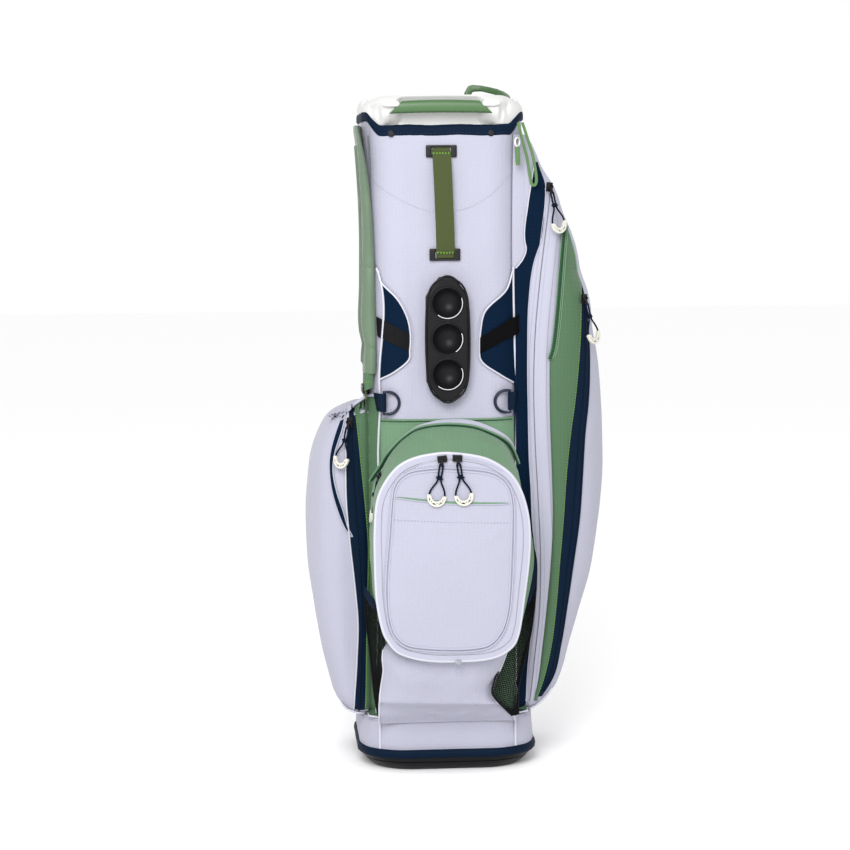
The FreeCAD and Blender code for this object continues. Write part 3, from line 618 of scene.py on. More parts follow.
def make_pull(name, pin, turn, lean, tilt, along_zip):
    body = "pull_" + name
    place = pull_matrix(pin, turn, lean, tilt)

    def tab(bm):
        box_into(bm, -2.3, 2.3, -0.6, 0.6, -5.8, -1.0)
        torus_into(bm, (0, 0, -7.2), 2.1, 0.7, "Y", steps=20, sides=8)
        torus_into(bm, (0, 0, -0.6), 1.3, 0.6, "Y", steps=16, sides=8)

    hardware = [rigid(name + "_tab", tab, place, "slider_metal", body, [name + "_pull"], bevel=0.25),
                rigid(name + "_knot", bead_into, place, "cord_navy", body),
                rigid(name + "_grip", grip_into, place, "pull_plastic", body, bevel=0.4)]
    cord, start = make_cord(name, pin, turn, lean, tilt)
    tuple(start)

    seat = pull_matrix(pin, turn, 0, 0)
    zip_turn = Matrix.Rotation(math.radians(along_zip), 4, "Y")
    pull_turn = Matrix.Rotation(math.radians(tilt), 4, "Y")

    def slider(bm):
        box_into(bm, -4.4, 4.4, 1.0, 2.2, -6.4, 6.4, zip_turn)
        box_into(bm, -4.4, 4.4, 3.5, 4.7, -6.4, 6.4, zip_turn)
        box_into(bm, -1.2, 1.2, 2.0, 3.7, 2.0, 6.0, zip_turn)
        for side in (-1, 1):
            box_into(bm, side * 2.9, side * 4.1, -1.1, 1.4, -1.9, 1.9, pull_turn)

    rigid(name + "_slider_body", slider, seat, "slider_metal", "slider_" + name, [name + "_slider"],
          bevel=0.45)


for pull_name, pull_place in PULLS.items():
    make_pull(pull_name, *pull_place)


# ---------------------------------------------------------------- the tube
# the front seams, x over z
SEAM_R = along([(91, 30), (91, 65), (92, 485), (92, 532), (90, 689), (91, 776), (93, 882)])
SEAM_L = along([(-96, 30), (-95, 70), (-90, 485), (-91, 535), (-92, 687), (-95, 696), (-99, 817),
                (-102, 882)])
YOKE_TOP = 486.0        # top of the green panel behind the front pocket
TUBE_LOW, TUBE_TOP = 60.0, 878.0
BACK_HALF = 94.0        # half the width of the back panel, along the ring
FRONT_OFF = 2.6         # how far panels sewn over the front skin stand off the bare tube


def tube_size(z):
    """Half width, half depth and corner radius of the padded tube at height z."""
    rise = step(800, 890, z)
    return 104 + 3.5 * rise, 114 + 3.0 * rise, 50 + 3.0 * rise


def ring_at(size, s, off=0.0):
    """Point at arc length s round a rounded rectangle, from its front middle towards +X."""
    w, d, r = size
    sign, s = (1 if s >= 0 else -1), abs(s)
    front, arc, side = w - r, math.pi * r / 2, 2 * (d - r)
    if s <= front:
        x, y, nx, ny = s, -d, 0.0, -1.0
    elif s <= front + arc:
        a = (s - front) / r
        nx, ny = math.sin(a), -math.cos(a)
        x, y = front + r * nx, -(d - r) + r * ny
    elif s <= front + arc + side:
        x, y, nx, ny = w, -(d - r) + (s - front - arc), 1.0, 0.0
    elif s <= front + 2 * arc + side:
        a = (s - front - arc - side) / r
        nx, ny = math.cos(a), math.sin(a)
        x, y = front + r * nx, (d - r) + r * ny
    else:
        x, y, nx, ny = front - (s - front - 2 * arc - side), d, 0.0, 1.0
    return sign * (x + nx * off), y + ny * off, sign * nx, ny


def half_round(size):
    """Half the length round a rounded rectangle."""
    w, d, r = size
    return 2 * (w - r) + 2 * (d - r) + math.pi * r


def around(size, count, extra=0):
    """Arc lengths at even distances once round a rounded rectangle; extra ones run past its end."""
    half = half_round(size)
    return [-half + 2 * half * j / count for j in range(count + extra)]


def arc_of(size, x):
    """Arc length where the ring's front half reaches x."""
    w, _, r = size
    flat = w - r
    if abs(x) <= flat:
        return x
    return math.copysign(flat + r * math.asin(min((abs(x) - flat) / r, 1.0)), x)


def on_tube(s, z, off=0.0):
    """The tube's surface at arc length s and height z, moved out by off."""
    return (*ring_at(tube_size(z), s, off)[:2], z)


def tube_front(x, z, off=0.0):
    """The tube's surface at (x, z), seen from the front, moved out by off."""
    return on_tube(arc_of(tube_size(z), x), z, off)


def trim_wave(s):
    """How far the collar's trim rises at arc length s: level in front, higher round the sides."""
    return 20.0 * step(87, 116, abs(s))


def seam_arc(seam):
    return lambda z: arc_of(tube_size(z), seam(z))


def rear_arc(sign, past=-BACK_HALF):
    """Where a rear seam runs; past the ring's rear middle the arc length goes on."""
    return lambda z: sign * (half_round(tube_size(z)) + past)


def body_panel(name, left, right, seed, node, top=TUBE_TOP, columns=60, rows=120, flat_below=0.0,
               trimmed=True):
    """One sewn panel between two seams given as arc lengths over z.

    It lies flat below a height, and a trimmed one ends under the collar's trim."""
    grid, depth = [], []
    for i in range(rows):
        level = TUBE_LOW + (top - TUBE_LOW) * i / (rows - 1)
        size = tube_size(level)
        half = half_round(size)
        row, back = [], []
        for j in range(columns):
            u = j / (columns - 1)
            s = left(level) + (right(level) - left(level)) * u
            z = level + trim_wave(s) * step(700, top, level) if trimmed else level
            edge = math.sin(math.pi * u) ** 0.35 if 0 < u < 1 else 0.0
            px, py, nx, ny = ring_at(size, s if s <= half else s - 2 * half)
            swell = (2.2 + folds(px, py, z, seed, 0.8, (34, 60, 170))) * edge
            swell *= step(flat_below - 20, flat_below, z)
            row.append((px + nx * swell, py + ny * swell, z))
            back.append((-nx * 3.0, -ny * 3.0, 0.0))
        grid.append(row)
        depth.append(back)
    slab(name, grid, depth, "white_fabric", "root", [node])


# how far the piping leaves each seam: the left one leans in towards the top of its visible stretch
PIPING_SHIFT = {"right": lambda z: 0.0, "left": along([(-1.5, 440), (0.0, 470), (2.4, 500)])}


def build_tube():
    body_panel("front_skin", seam_arc(SEAM_L), seam_arc(SEAM_R), 1.0, "front_panel", columns=80, rows=200,
               flat_below=YOKE_TOP)
    body_panel("right_skin", seam_arc(SEAM_R), rear_arc(1), 5.0, "right_panel")
    body_panel("left_skin", rear_arc(-1), seam_arc(SEAM_L), 9.0, "left_panel")
    body_panel("back_skin", rear_arc(1), rear_arc(1, BACK_HALF), 13.0, "back_panel", top=TUBE_TOP + 20,
               columns=50, trimmed=False)

    for name, seam in (("right", SEAM_R), ("left", SEAM_L)):
        line = [tube_front(seam(z) + PIPING_SHIFT[name](z), z, 3.4) for z in np.linspace(74, 690, 110)]
        tube(name + "_front_piping", [line], 1.6, "white_piping")
        line = [tube_front(seam(z), z, 0.6) for z in np.linspace(688, 868, 50)]
        tube(name + "_upper_seam", [line], 1.0, "thread_grey")
        if name == "left":
            line = [tube_front(seam(z) - 3.4, z, 2.6) for z in np.linspace(692, 827, 50)]
            tube("left_upper_piping", [line], 1.2, "white_piping")
        rows = [[on_tube(seam_arc(seam)(z) + side, z, 1.7) for z in np.linspace(490, 864, 160)]
                for side in (-4.2, 4.2)]
        stitches(name + "_seam_stitches", rows, "thread_white", length=2.4, gap=2.0, radius=0.3)
    for sign, name in ((1, "right"), (-1, "left")):
        line = [on_tube(rear_arc(sign)(z), z, 1.0) for z in np.linspace(74, 888, 100)]
        tube(name + "_rear_piping", [line], 1.7, "white_piping")

    # the U-shaped row of stitches across the upper front
    dip = smooth_line([(-97, 817), (-90, 803), (-68, 786), (-41, 772), (-17, 766), (9, 766), (33, 771),
                       (60, 787), (80, 807), (90, 821)])
    stitches("yoke_stitches", [[tube_front(x, z, 2.9) for x, z in dip]], "thread_white",
             length=2.4, gap=1.8, radius=0.35)


build_tube()


def patch(name, left, right, z0, z1, off, thick, material, surface=tube_front, columns=16, rows=60,
          puff=0.0, nodes=(), rough=0.0, slant=0.0):
    """A panel between two edges x(z), lying on a surface and off it by off.

    slant raises its top right corner."""
    grid = []
    for i in range(rows):
        t = i / (rows - 1)
        z = z0 + (z1 - z0) * t
        x0, x1 = left(z), right(z)
        row = []
        for j in range(columns):
            u = j / (columns - 1)
            x = x0 + (x1 - x0) * u
            rise = off + puff * math.sin(math.pi * u) ** 0.5 * math.sin(math.pi * t) ** 0.3
            if rough:
                rise += folds(x, 0, z, 0.0, rough, (7, 7, 7))
            row.append(surface(x, z + slant * u * step(0.85, 1.0, t), rise))
        grid.append(row)
    slab(name, grid, (0, thick, 0), material, "root", nodes)


ACROSS = (0, 0.33, 0.66, 1)


def strip(name, first, second, place, thick, material, across=ACROSS):
    """A narrow sheet between two lines of (x, z) points; place(x, z, share) puts its points on a surface."""
    grid = [[place(x0 + (x1 - x0) * k, z0 + (z1 - z0) * k, k) for k in across]
            for (x0, z0), (x1, z1) in zip(first, second)]
    slab(name, grid, (0, thick, 0), material)


def build_windows():
    """Navy insets beside the silo, edged with white piping, and the two strap ends in them."""
    edges = {
        "left": (SEAM_L, [(-88, 687), (-85, 671), (-65, 648), (-53, 623), (-49, 600), (-50, 580), (-52, 566),
                          (-70, 550), (-87, 540)]),
        "right": (SEAM_R, [(89, 684), (80, 659), (59, 639), (50, 626), (46, 606), (44, 579), (48, 562),
                           (72, 544), (89, 533)]),
    }
    for side, (seam, edge) in edges.items():
        curve = smooth_line(edge, steps=10)
        inner = along(resample(curve, count=40))
        sign = 1 if side == "right" else -1
        low, high = edge[-1][1], edge[0][1]
        ends = inner, lambda z: seam(z) - sign
        patch(side + "_window", *ends[::sign], low, high, FRONT_OFF + 0.5, 1.0, "navy_fabric", rows=70,
              columns=24)
        piping = [tube_front(x, z, FRONT_OFF + 1.1) for x, z in curve]
        tube(side + "_window_piping", [piping], 1.25, "white_piping")
        offset = [(x - sign * 4.0, z) for x, z in curve[6:-6]]
        stitches(side + "_window_stitches", [[tube_front(x, z, FRONT_OFF + 0.4) for x, z in offset]],
                 "thread_white", length=2.2, gap=1.8, radius=0.28)

    def quad(corners, name, material, off, thick, node, rough=0.0, n=26, m=18, over=0.0):
        a, b, c, d = (Vector(p) for p in corners)
        grid = []
        for i in range(m):
            row = []
            for j in range(n):
                u, v = j / (n - 1), i / (m - 1)
                p = (a * (1 - u) + b * u) * (1 - v) + (d * (1 - u) + c * u) * v
                ragged = rough * noise.noise(Vector((p.x / 4, p.y / 4, 3.0)))
                p = p + Vector((0, ragged * 1.6 * (abs(2 * v - 1) ** 3)))
                rise = off + abs(ragged) * 1.4 + (rough and 0.8 * noise.noise(Vector((p.x, p.y, 1.0))))
                rise += over * step(78, 90, abs(p.x))
                row.append(tube_front(p.x, p.y, rise))
            grid.append(row)
        slab(name, grid, (0, thick, 0), material, "root", [node])

    quad([(-91, 625), (-51, 602), (-50, 577), (-90, 598)], "cart_strap_end", "black_webbing",
         FRONT_OFF + 1.6, 1.3, "cart_strap")
    quad([(45, 595), (94, 626), (95, 601), (45, 574)], "keeper_loop", "fleece",
         FRONT_OFF + 2.4, 2.0, "strap_keeper", rough=1.0, n=60, m=36, over=3.6)
    rows = []
    for k in (0.15, 0.5, 0.85):
        top, low = Vector((-89 + 38 * k, 624 - 22 * k)), Vector((-88 + 38 * k, 599 - 21 * k))
        rows.append([tube_front(*(top * (1 - t / 9) + low * (t / 9)), FRONT_OFF + 1.9) for t in range(10)])
    stitches("cart_strap_stitches", rows, "black_webbing", length=2.0, gap=1.2, radius=0.35)


build_windows()


def soft_boxes(name, boxes, voxel, rounds, material, nodes):
    """Boxes (x0, x1, y0, y1, z0, z1) in mm melted into one moulding with rounded edges."""
    def build(bm):
        for sizes in boxes:
            box_into(bm, *sizes)

    return melt(rigid(name, build, Matrix.Identity(4), material, "root", nodes), voxel, rounds)


def build_lift_handle():
    """Webbing between two rectangular loops; it passes over each loop's near bar."""
    rise = along([(117.6, 702), (118.4, 707), (120.4, 710.5), (123.0, 713.5), (124.0, 717), (125.4, 722),
                  (127.6, 736), (129.0, 778), (127.6, 822), (125.4, 833), (124.0, 837.5), (123.0, 841),
                  (120.4, 844), (118.4, 848), (117.6, 852.5)])

    def middle(z):
        return -0.8 - 4.7 * (z - 709) / 139

    def webbing_grid(z0, z1, half, off, rows):
        return [[(middle(z) + half * u, -rise(z) - off + 0.5 * u * u + 0.12 * math.sin(z * 0.9 + 6 * u), z)
                 for u in np.linspace(-1, 1, 13)] for z in np.linspace(z0, z1, rows)]

    slab("lift_handle_webbing", webbing_grid(702.5, 852, 12.4, 0.0, 110), (0, 1.5, 0), "olive_webbing",
         "root", ["lift_handle_strap"])
    slab("lift_handle_fold_top", webbing_grid(845, 851.5, 11.6, 1.6, 12), (0, 1.8, 0), "olive_webbing")
    slab("lift_handle_fold_low", webbing_grid(703.5, 709, 11.6, 1.6, 12), (0, 1.8, 0), "olive_webbing")
    for name, z in (("low", 710.6), ("top", 843.4)):
        rows = [[(middle(z) + x, -rise(z) - 0.6, z + lift + 0.03 * abs(x)) for x in range(-12, 13, 6)]
                for lift in (-0.8, 0.5)]
        stitches("lift_handle_stitches_" + name, rows, "thread_lime", length=3.2, gap=0.5, radius=0.95)
    for name, x, z in (("top", -5.5, 846.0), ("low", -1.8, 707.8)):
        boxes = []
        for side in (-1, 1):
            near, far = sorted((x + side * 13.0, x + side * 20.8))
            boxes.append((near, far, -121.4, -116.6, z - 8, z + 8))
            low, high = sorted((z + side * 5.2, z + side * 8.2))
            boxes.append((x - 20, x + 20, -121.0, -117.0, low, high))
        soft_boxes("lift_loop_" + name, boxes, 0.7, 9, "black_plastic",
                   ["lift_handle_loops"] if name == "top" else [])


build_lift_handle()


def remoulded(node, name, material, voxel, rounds, body="root"):
    """A CAD part with its edges rounded off as a moulding's are."""
    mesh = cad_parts[node].data.copy()
    mesh.materials.clear()
    obj = bpy.data.objects.new(name, mesh)
    return melt(add(obj, material, body, [node]), voxel, rounds)


CUP_Z, CUP_PITCH = 595, 48      # height of the middle cup, and from cup to cup


def build_silo():
    """Rubber ball holder: domed cups with rolled lips inside a raised border."""
    remoulded("ball_silo", "ball_holder", "black_rubber", 1.1, 8)
    half, low, high, middle = 28.5, 511.0, 678.0, 594.5
    border = [(10, low), (half, low + 30), (half, high - 30), (10, high), (-10, high), (-half, high - 30),
              (-half, low + 30), (-10, low)]
    loop = smooth_line([(x * 0.955, middle + (z - middle) * 0.975) for x, z in border], closed=True, steps=6)
    line = [Vector((x, -134.2, z)) for x, z in loop]
    tube("silo_border", [line], 1.5, "black_rubber", closed=True)

    def round_cup(k, radius, y, angles):
        return [(radius * math.cos(a), y, CUP_Z + CUP_PITCH * k + radius * math.sin(a)) for a in angles]

    lips = [round_cup(k, 21.4, -134.4, np.linspace(0, math.tau, 49)[:-1]) for k in (-1, 0, 1)]
    tube("silo_lips", lips, 1.15, "black_rubber", closed=True)
    # painted highlight: short white arcs on the three cup lips stand in for glints of light off the rubber
    painted_highlights = [round_cup(k, 20.2, -134.9, np.radians(np.linspace(first, last, 20)))
             for k, first, last in ((-1, -130, 25), (0, -58, 22), (1, -130, 20))]
    tube("silo_lip_painted_highlight", painted_highlights, 0.55, "white_plastic")

    def bridges(bm):
        for k in (-0.5, 0.5):
            z = CUP_Z + CUP_PITCH * k
            box_into(bm, -4, 4, -135.0, -131, z - 2.6, z + 2.6)
            for side in (-1, 1):
                box_into(bm, side * 8, side * 15, -134.9, -131, z - 1.0, z + 1.0)

    rigid("silo_bridges", bridges, Matrix.Identity(4), "black_rubber", "root", bevel=0.8)


build_silo()
remoulded("rear_handle", "rear_grip_bar", "green_rubber", 1.2, 10)
remoulded("snap_studs", "press_studs", "black_plastic", 0.4, 2)
remoulded("strap_adjuster", "adjuster_buckle", "black_plastic", 0.8, 3, "strap_buckle")


def build_ring_tabs():
    """Webbing folded round each D-ring's bar."""
    for sign, name in ((-1, "left"), (1, "right")):
        path = [(97, -99), (94, -108), (91, -117.5), (87.5, -120.3), (84.0, -119.6), (82.6, -116.2),
                (84, -113.4)]
        path = smooth_line([(sign * x, y) for x, y in path], steps=6)
        grid, depth = [], []
        for i in range(13):
            v = i / 12 * 2 - 1
            z = 509 + v * 12.4
            row, back = [], []
            for k, (x, y) in enumerate(path):
                a = Vector(path[max(k - 1, 0)])
                b = Vector(path[min(k + 1, len(path) - 1)])
                run = (b - a).normalized()
                normal = Vector((-run.y, run.x)) * sign
                lean = v * 2.2 * step(0.5, 0.0, k / len(path)) * sign
                row.append((x + lean, y, z))
                back.append((normal.x * -1.1, normal.y * -1.1, 0))
            grid.append(row)
            depth.append(back)
        slab(name + "_ring_tab", grid, depth, "navy_tape", "root", ["d_ring_tabs"] if sign < 0 else [])
        rows = [[(sign * x, y - 0.7, 509 + v) for v in range(-11, 12, 2)]
                for x, y in ((92.2, -115.2), (89.3, -119.4))]
        stitches(name + "_tab_stitches", rows, "thread_blue", length=2.2, gap=1.2, radius=0.35)


build_ring_tabs()


def build_d_rings():
    """Moulded D-rings: a straight bar in the tab and a round bow towards the middle."""
    y = sum(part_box("left_d_ring")[k][1] for k in (0, 1)) / 2 / MM
    for sign, name in ((-1, "left_d_ring"), (1, "right_d_ring")):
        bar, bow, radius, z = 86.0, 80.0, 14.9, 508.4
        arc = [(sign * (bow - radius * math.cos(a)), y, z + radius * math.sin(a))
               for a in np.radians(np.linspace(-90, 90, 33))]
        line = [(sign * bar, y, z - radius)] + arc + [(sign * bar, y, z + radius)]
        tube(name + "_body", [line], 2.1, "navy_plastic", name + "_body", closed=True, nodes=[name])


build_d_rings()


# ---------------------------------------------------------------- collar, trim and base
GRIP_X = -6.5           # the front handle sits a little to the left of the tube's middle


def collar_relief(x, z):
    """How far the collar's front moves back: an arm at each corner, a dimple in it, the grip's recess."""
    ax = abs(x - GRIP_X)
    arm = step(50, 61, ax) * (1 - step(80, 96, ax)) * step(883, 896, z) * (1 - step(910, 918, z) * 0.6)
    width = 56 + max(0.0, 900 - z) * 0.9
    hollow = (1 - step(width - 4, width + 4, ax)) * (1 - step(911, 918, z)) * step(866, 880, z)
    side, up = (ax - 79) / 16, (z - 889) / 21
    dimple = step(0.0, 1.0, min(side, 1 - side, up - 0.62 * side, 0.95 - up) * 9)
    return -11.5 * arm + 11.0 * hollow + 9.0 * dimple


def build_collar():
    """Moulded ring: flared wall, corner arms with dimples, and a recess behind the front grip."""
    # height and inset from the outer wall, from the skirt up over the rim and down inside
    profile = [(868, 6.0), (874, 5.0), (881, 3.4), (888, 1.6), (895, 0.4), (901, -0.2), (906, 0.0),
               (911, 0.8), (915, 2.2), (918, 4.4), (919.6, 7.2), (919.0, 9.6), (916, 11.2), (908, 11.8),
               (896, 12.2), (884, 12.6), (878, 12.8)]
    size = (110.0, 119.0, 55.0)
    count = 420
    loops = []
    for z, inset in profile:
        loop = []
        for s in around(size, count):
            px, py = ring_at(size, s, -inset)[:2]
            height = z
            if z < 890 and inset <= 11:
                height += trim_wave(s) * (890 - z) / 22 * 0.9
            if py < -40:
                crown = 2.5 * (1 - (px / 112) ** 2) - 8.0 * step(78, 112, abs(px - GRIP_X / 2))
                height += crown * step(895, 919, z)
                if inset < 6 and z < 918:
                    py += collar_relief(px, z)
            loop.append((px, py, height))
        loops.append(loop)
    faces = grid_faces(len(loops), count, closed=True)
    last = (len(loops) - 1) * count
    faces += [(last + j, last + (j + 1) % count, (j + 1) % count, j) for j in range(count)]
    piece = mesh_piece("collar", [p for loop in loops for p in loop], faces, "collar_plastic", "root",
                       ["top_collar"])
    soften(piece, 2)
    subdivide(piece)


def build_front_grip():
    """Green bar across the collar, with the tongues of the collar's arms over its ends."""
    for sign in (-1, 1):
        rows = []
        for i in range(25):
            t = i / 24
            x = 80 - 25 * t
            taper = max(0.0, (t - 0.72) / 0.28, (0.45 - t) / 0.45)
            r = 4.2 * math.sqrt(max(0.0, 1 - taper ** 2)) + 0.15
            rows.append([(GRIP_X + sign * x, -131.2 - 2.6 * t + r * 0.7 * math.cos(a),
                          909.5 - 0.5 * t + r * math.sin(a)) for a in np.linspace(0, math.tau, 21)[:-1]])
        loft("collar_tongue_" + ("right" if sign > 0 else "left"), rows, "collar_plastic")

    # the bar has slanted ends and a row of pin holes under it
    rows = []
    for i in range(61):
        t = i / 60 * 2 - 1
        ring = []
        sag = 1.3 * (1 - t * t)
        for a in np.linspace(0, math.tau, 29)[:-1]:
            c, s = math.cos(a), math.sin(a)
            up = math.copysign(abs(s) ** 0.7, s)
            reach = 69 - 9.0 * (up + 1)
            ring.append((GRIP_X + t * reach, -126.0 + 8.0 * math.copysign(abs(c) ** 0.75, c),
                         904.4 + sag + 8.6 * up))
        rows.append(ring)
    loft("front_grip_sleeve", rows, "green_rubber", "root", ["front_grip"])
    pins = [[(x, -133.2, 897.6), (x, -133.9, 897.7)] for x in (GRIP_X + k * 9.5 for k in range(-6, 7))]
    tube("grip_pin_holes", pins, 0.6, "black_rubber")


def build_trim():
    """Folded navy binding under the collar, higher round the sides."""
    size = (107.5, 117.0, 53.0)
    section = [(0.0, -1.0), (0.6, 1.8), (3.0, 3.0), (8.0, 3.3), (12.5, 2.6), (15.0, 0.6), (15.0, -1.5)]

    def edge(s):
        return 866.5 + trim_wave(s) + 0.5 * math.sin(s * 0.09)

    loops = []
    for h, off in section:
        loop = []
        for s in around(size, 300):
            px, py = ring_at(size, s, off)[:2]
            loop.append((px, py, edge(s) + h + folds(px, py, h, 3.0, 0.5, (12, 12, 12))))
        loops.append(loop)
    loft("collar_trim", loops, "navy_tape", "root", ["top_binding"], caps=False)
    thread = [(*ring_at(size, s, 3.5)[:2], edge(s) + 3.6) for s in around(size, 300, extra=1)]
    stitches("collar_trim_stitches", [thread], "thread_blue", length=2.6, gap=1.6, radius=0.4)


build_collar()
build_front_grip()
build_trim()


def ring_loft(name, sections, material, nodes=(), count=260, caps=False, ripple=0.0):
    """A skin round the base: sections of (z, half width, half depth, radius)."""
    loops = []
    for z, *size in sections:
        loop = []
        for s in around(size, count):
            out = ripple * noise.noise(Vector((s / 26, z / 34, 2.0)))
            loop.append((*ring_at(size, s, out)[:2], z))
        loops.append(loop)
    loft(name, loops, material, "root", nodes, caps)


def build_base():
    ring_loft("rubber_foot", [(0, 97, 101, 51), (0.1, 101, 105, 55), (1.2, 104, 108, 58), (4, 108.5, 112, 61),
                              (8, 112.5, 115, 63), (11.4, 115.0, 117, 64), (11.6, 114.0, 116, 63),
                              (12.8, 114.6, 116.4, 63), (13.0, 116.4, 118, 64), (16, 118.2, 119, 64),
                              (19, 119.8, 119.4, 64), (24, 119, 117, 61)],
              "black_rubber", ["base_foot"], caps=True)
    ring_loft("foot_binding", [(18.4, 119, 117, 61), (18.6, 122.4, 120.4, 64), (20, 124, 122, 66),
                               (24, 124.6, 122.6, 66), (28, 124, 122, 66), (30, 122.2, 120.2, 64),
                               (30.4, 119, 117, 61)],
              "navy_tape", ["base_binding"], ripple=0.5)
    ring_loft("skirt_skin", [(26, 119, 117.2, 62), (32, 121.4, 119.4, 63), (42, 121.2, 119.4, 63),
                             (52, 120.2, 118.8, 63), (62, 119.4, 118.4, 63), (70, 118.6, 118.0, 63),
                             (72, 117.6, 117.2, 62), (72.6, 108, 112, 50)],
              "white_fabric", ["base_skirt"], count=360, ripple=0.9)
    size = (119.3, 118.6, 63)
    rows = [[(*ring_at(size, s, off)[:2], z) for s in around(size, 200, extra=1)]
            for z, off in ((68.5, 0.4), (34.0, 2.4))]
    stitches("skirt_stitches", rows, "thread_white", length=2.6, gap=2.0, radius=0.35)
    for x, name in ((-95, "left"), (91, "right")):
        s = arc_of((121, 119, 63), x)
        line = [(*ring_at((120.4 - z / 40, 119, 63), s, 1.2)[:2], z) for z in np.linspace(31, 73, 20)]
        tube(name + "_skirt_piping", [line], 1.7, "white_piping")


build_base()


# ---------------------------------------------------------------- front pocket
MID = (-1.0, 309.0)     # the door's middle, (x, z)
RIM = 240               # points round each outline of the pocket


def by_angle(line):
    """The closed line's points at even angles about the pocket's middle, from the top clockwise."""
    pts = np.array([(p[0] - MID[0], p[1] - MID[1]) for p in line])
    angle = np.unwrap(np.arctan2(pts[:, 0], pts[:, 1]))
    radius = np.hypot(pts[:, 0], pts[:, 1])
    if angle[-1] < angle[0]:
        angle, radius = angle[::-1], radius[::-1]
    angle = np.concatenate([angle - math.tau, angle, angle + math.tau])
    radius = np.tile(radius, 3)
    made = []
    for a in (math.tau * k / RIM for k in range(RIM)):
        r = float(np.interp(a, angle, radius))
        made.append((MID[0] + r * math.sin(a), MID[1] + r * math.cos(a)))
    return made


def outline(points):
    return by_angle(resample(smooth_line(points, closed=True), count=RIM, closed=True))


DOOR = outline([(-2, 449), (-30, 447.5), (-54, 442), (-74, 431), (-91, 410), (-101, 386), (-104.5, 350),
                (-105, 309), (-103, 255), (-96, 215), (-88, 197), (-73, 181), (-40, 171), (0, 168.5),
                (47, 171), (74, 183), (86, 203), (94, 251), (101, 305), (102, 345), (97, 378),
                (86, 407), (70, 426), (41, 442)])
PANEL = outline([(-4, 426), (-32, 425.5), (-56, 422), (-70, 413), (-77, 400), (-80, 375), (-83, 335),
                 (-87, 290), (-88, 262), (-86, 230), (-79, 207), (-64, 193), (-42, 188), (-10, 185.5),
                 (21, 185.5), (46, 190), (61, 204), (69, 222), (74, 251), (77, 305), (78.5, 350),
                 (78, 383), (72, 403), (60, 415), (40, 422)])


def shrink(line, by):
    """The line drawn in towards the pocket's middle by a length in mm."""
    made = []
    for x, z in line:
        d = Vector((x - MID[0], z - MID[1]))
        d = d * (1 - by / d.length)
        made.append((MID[0] + d.x, MID[1] + d.y))
    return made


def disc(name, line, steps, height, back, material, body, nodes=()):
    """A domed panel: rings of a closed line drawn in step by step to its middle, on a flat back."""
    points, n = [], len(line)
    for f in steps:
        for x, z in line:
            px, pz = MID[0] + (x - MID[0]) * f, MID[1] + (z - MID[1]) * f
            points.append((px, height(px, pz, f), pz))
    faces = grid_faces(len(steps), n, closed=True)
    points.append((MID[0], height(*MID, 0.0), MID[1]))
    last = (len(steps) - 1) * n
    faces += [(last + j, last + (j + 1) % n, len(points) - 1) for j in range(n)]
    first = len(points)
    points += [(x, back, z) for x, z in line]
    faces += [(j, (j + 1) % n, first + (j + 1) % n, first + j) for j in range(n)]
    points.append((MID[0], back, MID[1]))
    faces += [(first + j, first + (j + 1) % n, len(points) - 1) for j in range(n)]
    mesh_piece(name, points, faces, material, body, nodes)


PANEL_CREASES = ((-70, 345, 10, 300, 9, 0.9), (70, 350, 30, 322, 8, 0.9), (-82, 330, -50, 270, 8, 0.8))


def panel_y(x, z, f=0.0):
    """Front surface of the door's inner panel."""
    crown = 1.2 + 4.2 * step(385, 290, z) * (1 - min(1.0, abs(f)) ** 3)
    wrinkle = folds(x, 0, z, 21.0, 0.55, (52, 60, 46)) * (1 - abs(f) ** 4)
    wrinkle += creases(x, z, PANEL_CREASES)
    return -203.3 - crown - wrinkle * (1.0 if z < 372 else 0.35)


SLIT_LINE = smooth_line([(-76, 392), (-44, 387), (-2, 382.3), (35, 381), (74, 381.3)], steps=10)


